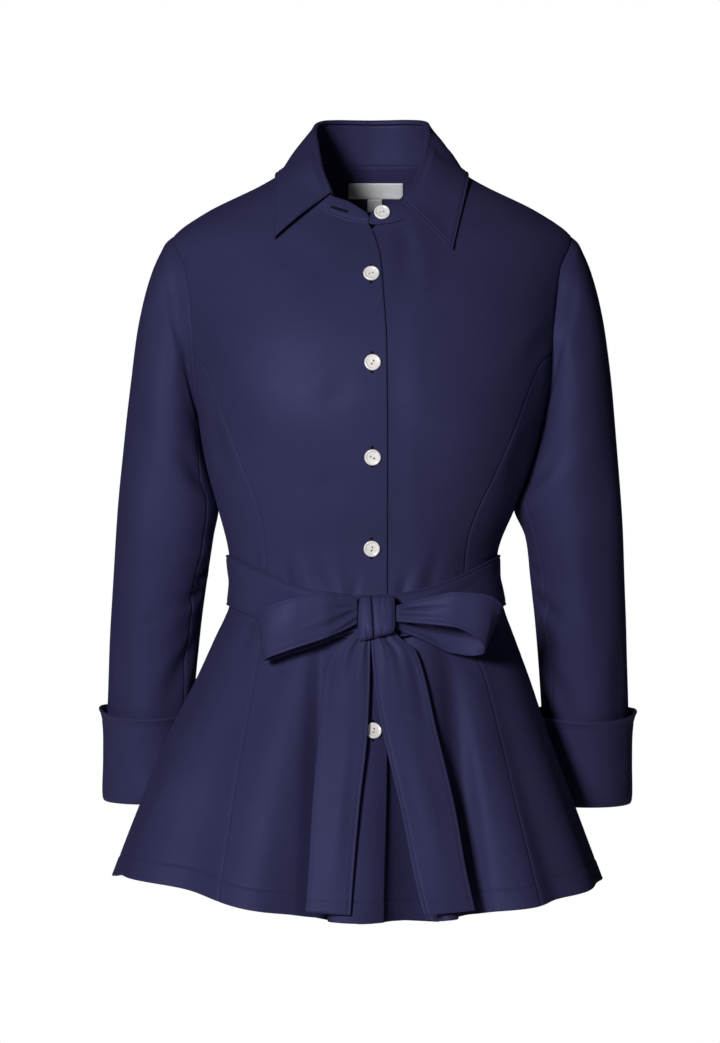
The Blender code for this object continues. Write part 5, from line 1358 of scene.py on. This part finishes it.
def knot(material):
    """The knot: cloth wound round the bow's middle, a fold down its face and its two ends rounded."""
    table = Table(("z", "half_width", "half_depth"), KNOT_ROWS)
    top, low = KNOT_ROWS[0][0], KNOT_ROWS[-1][0]
    caps = np.radians(np.linspace(15.0, 75.0, KNOT_CAP_RINGS))
    z = np.concatenate((low - KNOT_END_RISE * np.sin(caps[::-1]), np.linspace(low, top, KNOT_LEVELS),
                        top + KNOT_END_RISE * np.sin(caps)))[:, None]
    shrink = np.concatenate((np.cos(caps[::-1]), np.ones(KNOT_LEVELS), np.cos(caps)))[:, None]
    face = np.arcsin(signed_power(2.0 * spread_shares(KNOT_COLUMNS // 2, 0.2) - 1.0, 1.0 / KNOT_SHARPNESS))
    around = np.concatenate((face, math.pi - face[-2:0:-1]))[None, :]
    across, along = (signed_power(value, KNOT_SHARPNESS) for value in (np.sin(around), np.cos(around)))
    held = np.clip(z, low, top)
    half_width = 0.001 + table.at("half_width", held) * 0.35 + table.at("half_width", 0.0) * 0.6
    x = half_width * (0.6 + 0.4 * shrink) * across
    away = x - KNOT_GROOVE_X - KNOT_FOLD_SLANT * z
    fold = KNOT_GROOVE_DEPTH * 0.5 * near(away, KNOT_GROOVE_WIDTH)
    crack = KNOT_CRACK_DEPTH * near(away + 0.0003, 0.0006)
    crack = crack + KNOT_STEP * (1.0 - ease((away + 0.0004) / 0.0008))
    edge_line = groove(half_width - KNOT_EDGE_INSET - np.abs(x)) * 0.8
    sink = np.where(along > 0.0, fold + crack + crease_field(x, z, KNOT_CREASES) + edge_line, 0.0)

    def place(x, level, depth):
        lean = KNOT_LEAN * x / 0.017 * ease(-level / top)
        return point(KNOT_X + x, KNOT_Y + KNOT_TILT * level - depth, KNOT_Z + level + lean)

    grid = place(x, z, (table.at("half_depth", held) - sink) * shrink * along)
    u, v = around * KNOT_RADIUS + 0.0 * z, z + 0.0 * around
    uv = cell_uv(u[:-1], u[:-1] + math.tau * KNOT_RADIUS / KNOT_COLUMNS, v[:-1], v[1:])
    uvs = np.concatenate((uv, grid[0][::-1][:, :2], grid[-1][:, :2]))
    piece = add_mesh("knot_cloth", grid.reshape(-1, 3), ring_faces(*grid.shape[:2]), material, uvs)
    mount(piece, "navy_sateen_double", "knot")
    lines = []
    level, width = (rows[KNOT_CAP_RINGS:-KNOT_CAP_RINGS, 0] for rows in (z, half_width))
    for side in SIDES:
        line_x = side * (width - KNOT_EDGE_INSET)
        turn = np.arcsin(np.clip(np.abs(line_x) / width, 0.0, 1.0) ** (1.0 / KNOT_SHARPNESS))
        sunk = GROOVE_DEPTH + (KNOT_STEP if side < 0 else 0.0)
        depth = table.at("half_depth", level) * np.cos(turn) ** KNOT_SHARPNESS - sunk
        lines.append((place(line_x, level, depth), unit(point(0.35 * side, -1.0, 0.0 * level))))
    return piece, lines


def woven_label(name, x_range, z_range, material):
    """Thin woven piece sewn inside the back neck, with the lines along its two short ends."""
    x = np.linspace(*x_range, LABEL_COLUMNS)[None, :]
    z = np.linspace(*z_range, LABEL_ROWS)[:, None]
    angle = back_angle(x + 0.0 * z, z)
    surface, normal = body_surface(angle, z), body_normal(angle, z)
    lift = 0.0002 * np.sin(x * 310.0) + 0.00015 * np.sin(z * 700.0 + x * 90.0)
    back = surface - normal * (CLOTH + LABEL_CLEARANCE)
    face = back - normal * (LABEL_THICKNESS + lift)[..., None]
    piece = mount(shell(name + "_cloth", face, back, material), "label_white", name)
    return piece, [inset_line(face, -normal, edge, LABEL_STITCH_INSET) for edge in ("start", "end")]


def fine_button():
    """Corner places and faces of a two-hole button about the origin, its back at z 0."""
    profile = [[(radius, 0.0, height)] for radius, height in FINE_BUTTON_PROFILE]
    curve = smooth_rows(profile, FINE_BUTTON_STEPS)[:, 0]
    around = np.radians(ring_turns(BUTTON_SEGMENTS))[None, :]
    grid = point(curve[:, :1] * np.cos(around), curve[:, :1] * np.sin(around), curve[:, 2:])
    faces = ring_faces(*grid.shape[:2])
    blank = bpy.data.materials.new("blank")
    disc = add_mesh("disc", grid.reshape(-1, 3), faces[-2:] + faces[:-2], blank)
    drills = []
    for sign in (-1.0, 1.0):
        mesh = bmesh.new()
        bmesh.ops.create_cone(mesh, cap_ends=True, segments=16, radius1=BUTTON_HOLE_RADIUS,
                              radius2=BUTTON_HOLE_RADIUS, depth=0.012)
        bmesh.ops.translate(mesh, verts=mesh.verts, vec=(sign * BUTTON_HOLE_OFFSET, 0.0, 0.0))
        data = bpy.data.meshes.new("drill")
        mesh.to_mesh(data)
        mesh.free()
        drills.append(add_object("drill", data))
        disc.modifiers.new("hole", "BOOLEAN").object = drills[-1]
    data = bpy.data.meshes.new_from_object(disc.evaluated_get(bpy.context.evaluated_depsgraph_get()))
    form = np.array([v.co[:] for v in data.vertices]), [tuple(face.vertices) for face in data.polygons]
    for item in [disc] + drills:
        bpy.data.objects.remove(item, do_unlink=True)
    bpy.data.meshes.remove(data)
    bpy.data.materials.remove(blank)
    return form


def on_cloth(tree, place, normal):
    """Where a line along the normal meets the cloth from outside, or the place itself."""
    hit = tree.ray_cast(Vector(place) + Vector(normal) * 0.012, -Vector(normal), 0.03)[0]
    return Vector(place) if hit is None else hit


def sew_button(name, form, place, normal, turn, materials):
    """Button at a place, with its threads through both holes; gives the threads."""
    rotation = Vector(normal).to_track_quat("Z", "Y").to_matrix().to_4x4()
    matrix = Matrix.Translation(place) @ rotation @ Matrix.Rotation(math.radians(turn), 4, "Z")
    verts = np.array([(matrix @ Vector(v))[:] for v in form[0]])
    button = add_mesh(name + "_pearl", verts, form[1], materials["pearl"])
    button.data.set_sharp_from_angle(angle=math.radians(40.0))
    mount(button, "pearl_button", name)
    bars = []
    for shift in THREAD_PLACES:
        path = []
        for share in np.linspace(-1.0, 1.0, 13):
            dive = 0.002 * max(0.0, abs(share) - 0.72) / 0.28
            z = FINE_BUTTON_PROFILE[-1][1] + THREAD_RISE * math.cos(share * 1.2) - dive
            spot = Vector((BUTTON_HOLE_OFFSET * share * 0.9, shift * (1.0 - 0.25 * abs(share)), z))
            path.append((matrix @ spot)[:])
        bars.append(tube("%s_strand_%d" % (name, len(bars)), np.array(path), THREAD_RADIUS,
                         materials["white_thread"]))
    verts, faces = merged(bars)
    for bar in bars:
        data = bar.data
        bpy.data.objects.remove(bar, do_unlink=True)
        bpy.data.meshes.remove(data)
    threads = add_mesh(name + "_threads", np.array(verts), faces, materials["white_thread"], outward=False)
    return mount(threads, "pearl_button")


def buttonhole(name, tree, middle, normal, along, length, material):
    """Worked slit: a ridge of close stitches round it, on the cloth."""
    along, normal = Vector(along).normalized(), Vector(normal).normalized()
    aside = normal.cross(along).normalized()
    half, reach = 0.5 * HOLE_WIDTH - HOLE_THREAD * 0.6, 0.5 * length - HOLE_THREAD
    places = []
    for side in (1.0, -1.0):
        path = [(side * share * reach, side * half) for share in np.linspace(-1.0, 1.0, 24)]
        for s, t in path + [(side * reach * 1.02, 0.0)]:
            spot = on_cloth(tree, Vector(middle) + along * s + aside * t, normal)
            places.append(tuple(spot + normal * HOLE_LIFT))
    piece = tube(name, np.array(places), HOLE_THREAD, material, np.array([tuple(normal)] * len(places)))
    return mount(piece, "navy_sateen")


def add_buttons(right_front, stand, materials):
    """All buttons, their threads and the buttonholes; gives the sewn pieces."""
    form, dark = fine_button(), materials["dark_thread"]
    front, neck = (BVHTree.FromPolygons(*merged([piece])) for piece in (right_front, stand))
    sewn = []
    for name, x, z, turn in BUTTON_ROWS:
        angle = front_angle(x, z)
        place, normal = body_surface(angle, z), body_normal(angle, z)
        spots = [on_cloth(front, place + (dx, 0.0, dz), normal) for dx in SEAT_STEPS for dz in SEAT_STEPS]
        lift = max((spot - Vector(place)).dot(Vector(normal)) for spot in spots)
        seat = Vector(place) + Vector(normal) * (lift + BUTTON_GAP)
        sewn.append(sew_button(name, form, seat, normal, turn, materials))
        middle = place + (HOLE_SHIFT[0], 0.0, HOLE_SHIFT[1])
        upright = np.cross((1.0, 0.0, 0.0), normal)
        sewn.append(buttonhole(name + "_hole", front, middle, normal, upright, HOLE_LENGTH, dark))
    angle, roll, _ = collar_stations(1, 2)
    lean = unit(roll[-1] - (0.0, 0.0, STAND_TOP_DROP) - neck_point(angle[-1:])[0])

    def on_stand(neck_angle, height):
        low = neck_point(np.array([neck_angle]))[0]
        away = unit(low * LEVEL)
        return low + lean * height, unit(away - lean * float(np.dot(away, lean)))

    place, out = on_stand(STAND_BUTTON_ANGLE, STAND_BUTTON_HEIGHT)
    place = on_cloth(neck, place, out) + Vector(out) * STAND_BUTTON_GAP
    sewn.append(sew_button("button_stand", form, place, out, STAND_BUTTON_TURN, materials))
    place, out = on_stand(-STAND_HOLE_ANGLE, STAND_HOLE_HEIGHT)
    ends = neck_point(np.array([-STAND_HOLE_ANGLE - 4.0, -STAND_HOLE_ANGLE + 4.0]))
    along = ends[0] - ends[1]
    return sewn + [buttonhole("stand_hole", neck, place, out, along, STAND_HOLE_LENGTH, dark)]


def add_garment(materials):
    """All cloth pieces by name, and the stitch lines that lie on each."""
    cloth, doubled, white = (materials[name] for name in ("cloth", "doubled", "label"))
    pieces, lines = {}, {}
    for side, name in SIDES.items():
        pieces["front_centre_" + name], lines["front_centre_" + name] = front_centre(side, cloth)
        for facing, face in ((1, "front_side_"), (-1, "back_side_")):
            pieces[face + name], lines[face + name] = side_panel(side, facing, cloth)
        for part in ("upper", "under"):
            pieces["sleeve_%s_%s" % (part, name)] = sleeve_piece(side, part, cloth)
        for node, make in (("cuff_", cuff), ("loop_", loop), ("tail_", tail)):
            pieces[node + name], lines[node + name] = make(side, doubled)
    pieces["back_centre"], lines["back_centre"] = back_centre(cloth)
    for node, make in (("collar_stand", collar_stand), ("collar_leaf", collar_leaf), ("belt", sash),
                       ("knot", knot)):
        pieces[node], lines[node] = make(doubled)
    for node, x_range, z_range in (("label", LABEL_X, LABEL_Z), ("size_tab", TAB_X, TAB_Z)):
        pieces[node], lines[node] = woven_label(node, x_range, z_range, white)
    return pieces, lines


def add_light(name, place, aim, size, power, colour):
    data = bpy.data.lights.new(name, "AREA")
    data.shape, data.size, data.energy, data.color = "SQUARE", size, power, colour
    turn = (Vector(aim) - Vector(place)).to_track_quat("-Z", "Y").to_euler()
    add_object(name, data, location=place, rotation_euler=turn, visible_glossy=name != "back")


def studio():
    """Pale floor, soft lights and the camera."""
    scene = bpy.context.scene
    scene.view_settings.view_transform = "Standard"
    scene.world = bpy.data.worlds.new("studio")
    scene.world.use_nodes = True
    tree = scene.world.node_tree
    blend = tree.nodes.new("ShaderNodeMixShader")
    grounds = (tree.nodes.new("ShaderNodeBackground"), AMBIENT), (tree.nodes["Background"], 1.0)
    for index, (ground, strength) in enumerate(grounds):
        ground.inputs["Color"].default_value = WORLD_COLOUR
        ground.inputs["Strength"].default_value = strength
        tree.links.new(ground.outputs[0], blend.inputs[index + 1])
    tree.links.new(tree.nodes.new("ShaderNodeLightPath").outputs["Is Camera Ray"], blend.inputs[0])
    tree.links.new(blend.outputs[0], tree.nodes["World Output"].inputs["Surface"])
    mesh = bmesh.new()
    bmesh.ops.create_grid(mesh, x_segments=4, y_segments=4, size=FLOOR_SIZE)
    data = bpy.data.meshes.new("floor")
    mesh.to_mesh(data)
    mesh.free()
    data.materials.append(plain("floor_paper", FLOOR_COLOUR, 0.85))
    add_object("floor", data, location=(0.0, 0.0, FLOOR_Z))
    for row in LIGHT_ROWS:
        add_light(*row)
    data = bpy.data.cameras.new("camera")
    data.lens = CAMERA_LENS
    level = (math.radians(90.0), 0.0, 0.0)
    scene.camera = add_object("camera", data, location=CAMERA_PLACE, rotation_euler=level)


def build():
    """The garment with all its sewing, mounted and given its slots."""
    materials = {
        "cloth": sateen("sateen", CLOTH_DARK, CLOTH_LIGHT, 0.5),
        "doubled": sateen("sateen_doubled", DOUBLED_DARK, DOUBLED_LIGHT, 0.48),
        "thread": thread("sewing_thread", THREAD_DARK, THREAD_LIGHT, 0.1),
        "dark_thread": thread("buttonhole_thread", HOLE_DARK, HOLE_LIGHT, 0.04),
        "white_thread": thread("button_thread", WHITE_DARK, WHITE_LIGHT, 0.3),
        "pearl": pearl("pearl"),
        "label": satin_label("label_satin"),
    }
    pieces, lines = add_garment(materials)
    sewn = {}
    for name, rows in lines.items():
        row = stitches(name + "_stitches", rows, materials["thread"])
        sewn[name] = [mount(row, pieces[name]["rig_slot"])]
    sewn["front_centre_right"] += add_buttons(pieces["front_centre_right"], pieces["collar_stand"], materials)


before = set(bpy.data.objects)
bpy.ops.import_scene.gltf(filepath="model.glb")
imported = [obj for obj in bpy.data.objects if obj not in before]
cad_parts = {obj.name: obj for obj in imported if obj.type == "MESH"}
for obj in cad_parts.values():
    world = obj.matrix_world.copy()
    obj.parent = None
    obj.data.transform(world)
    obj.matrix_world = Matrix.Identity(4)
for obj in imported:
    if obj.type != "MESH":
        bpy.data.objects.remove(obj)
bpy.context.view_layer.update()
build()
studio()
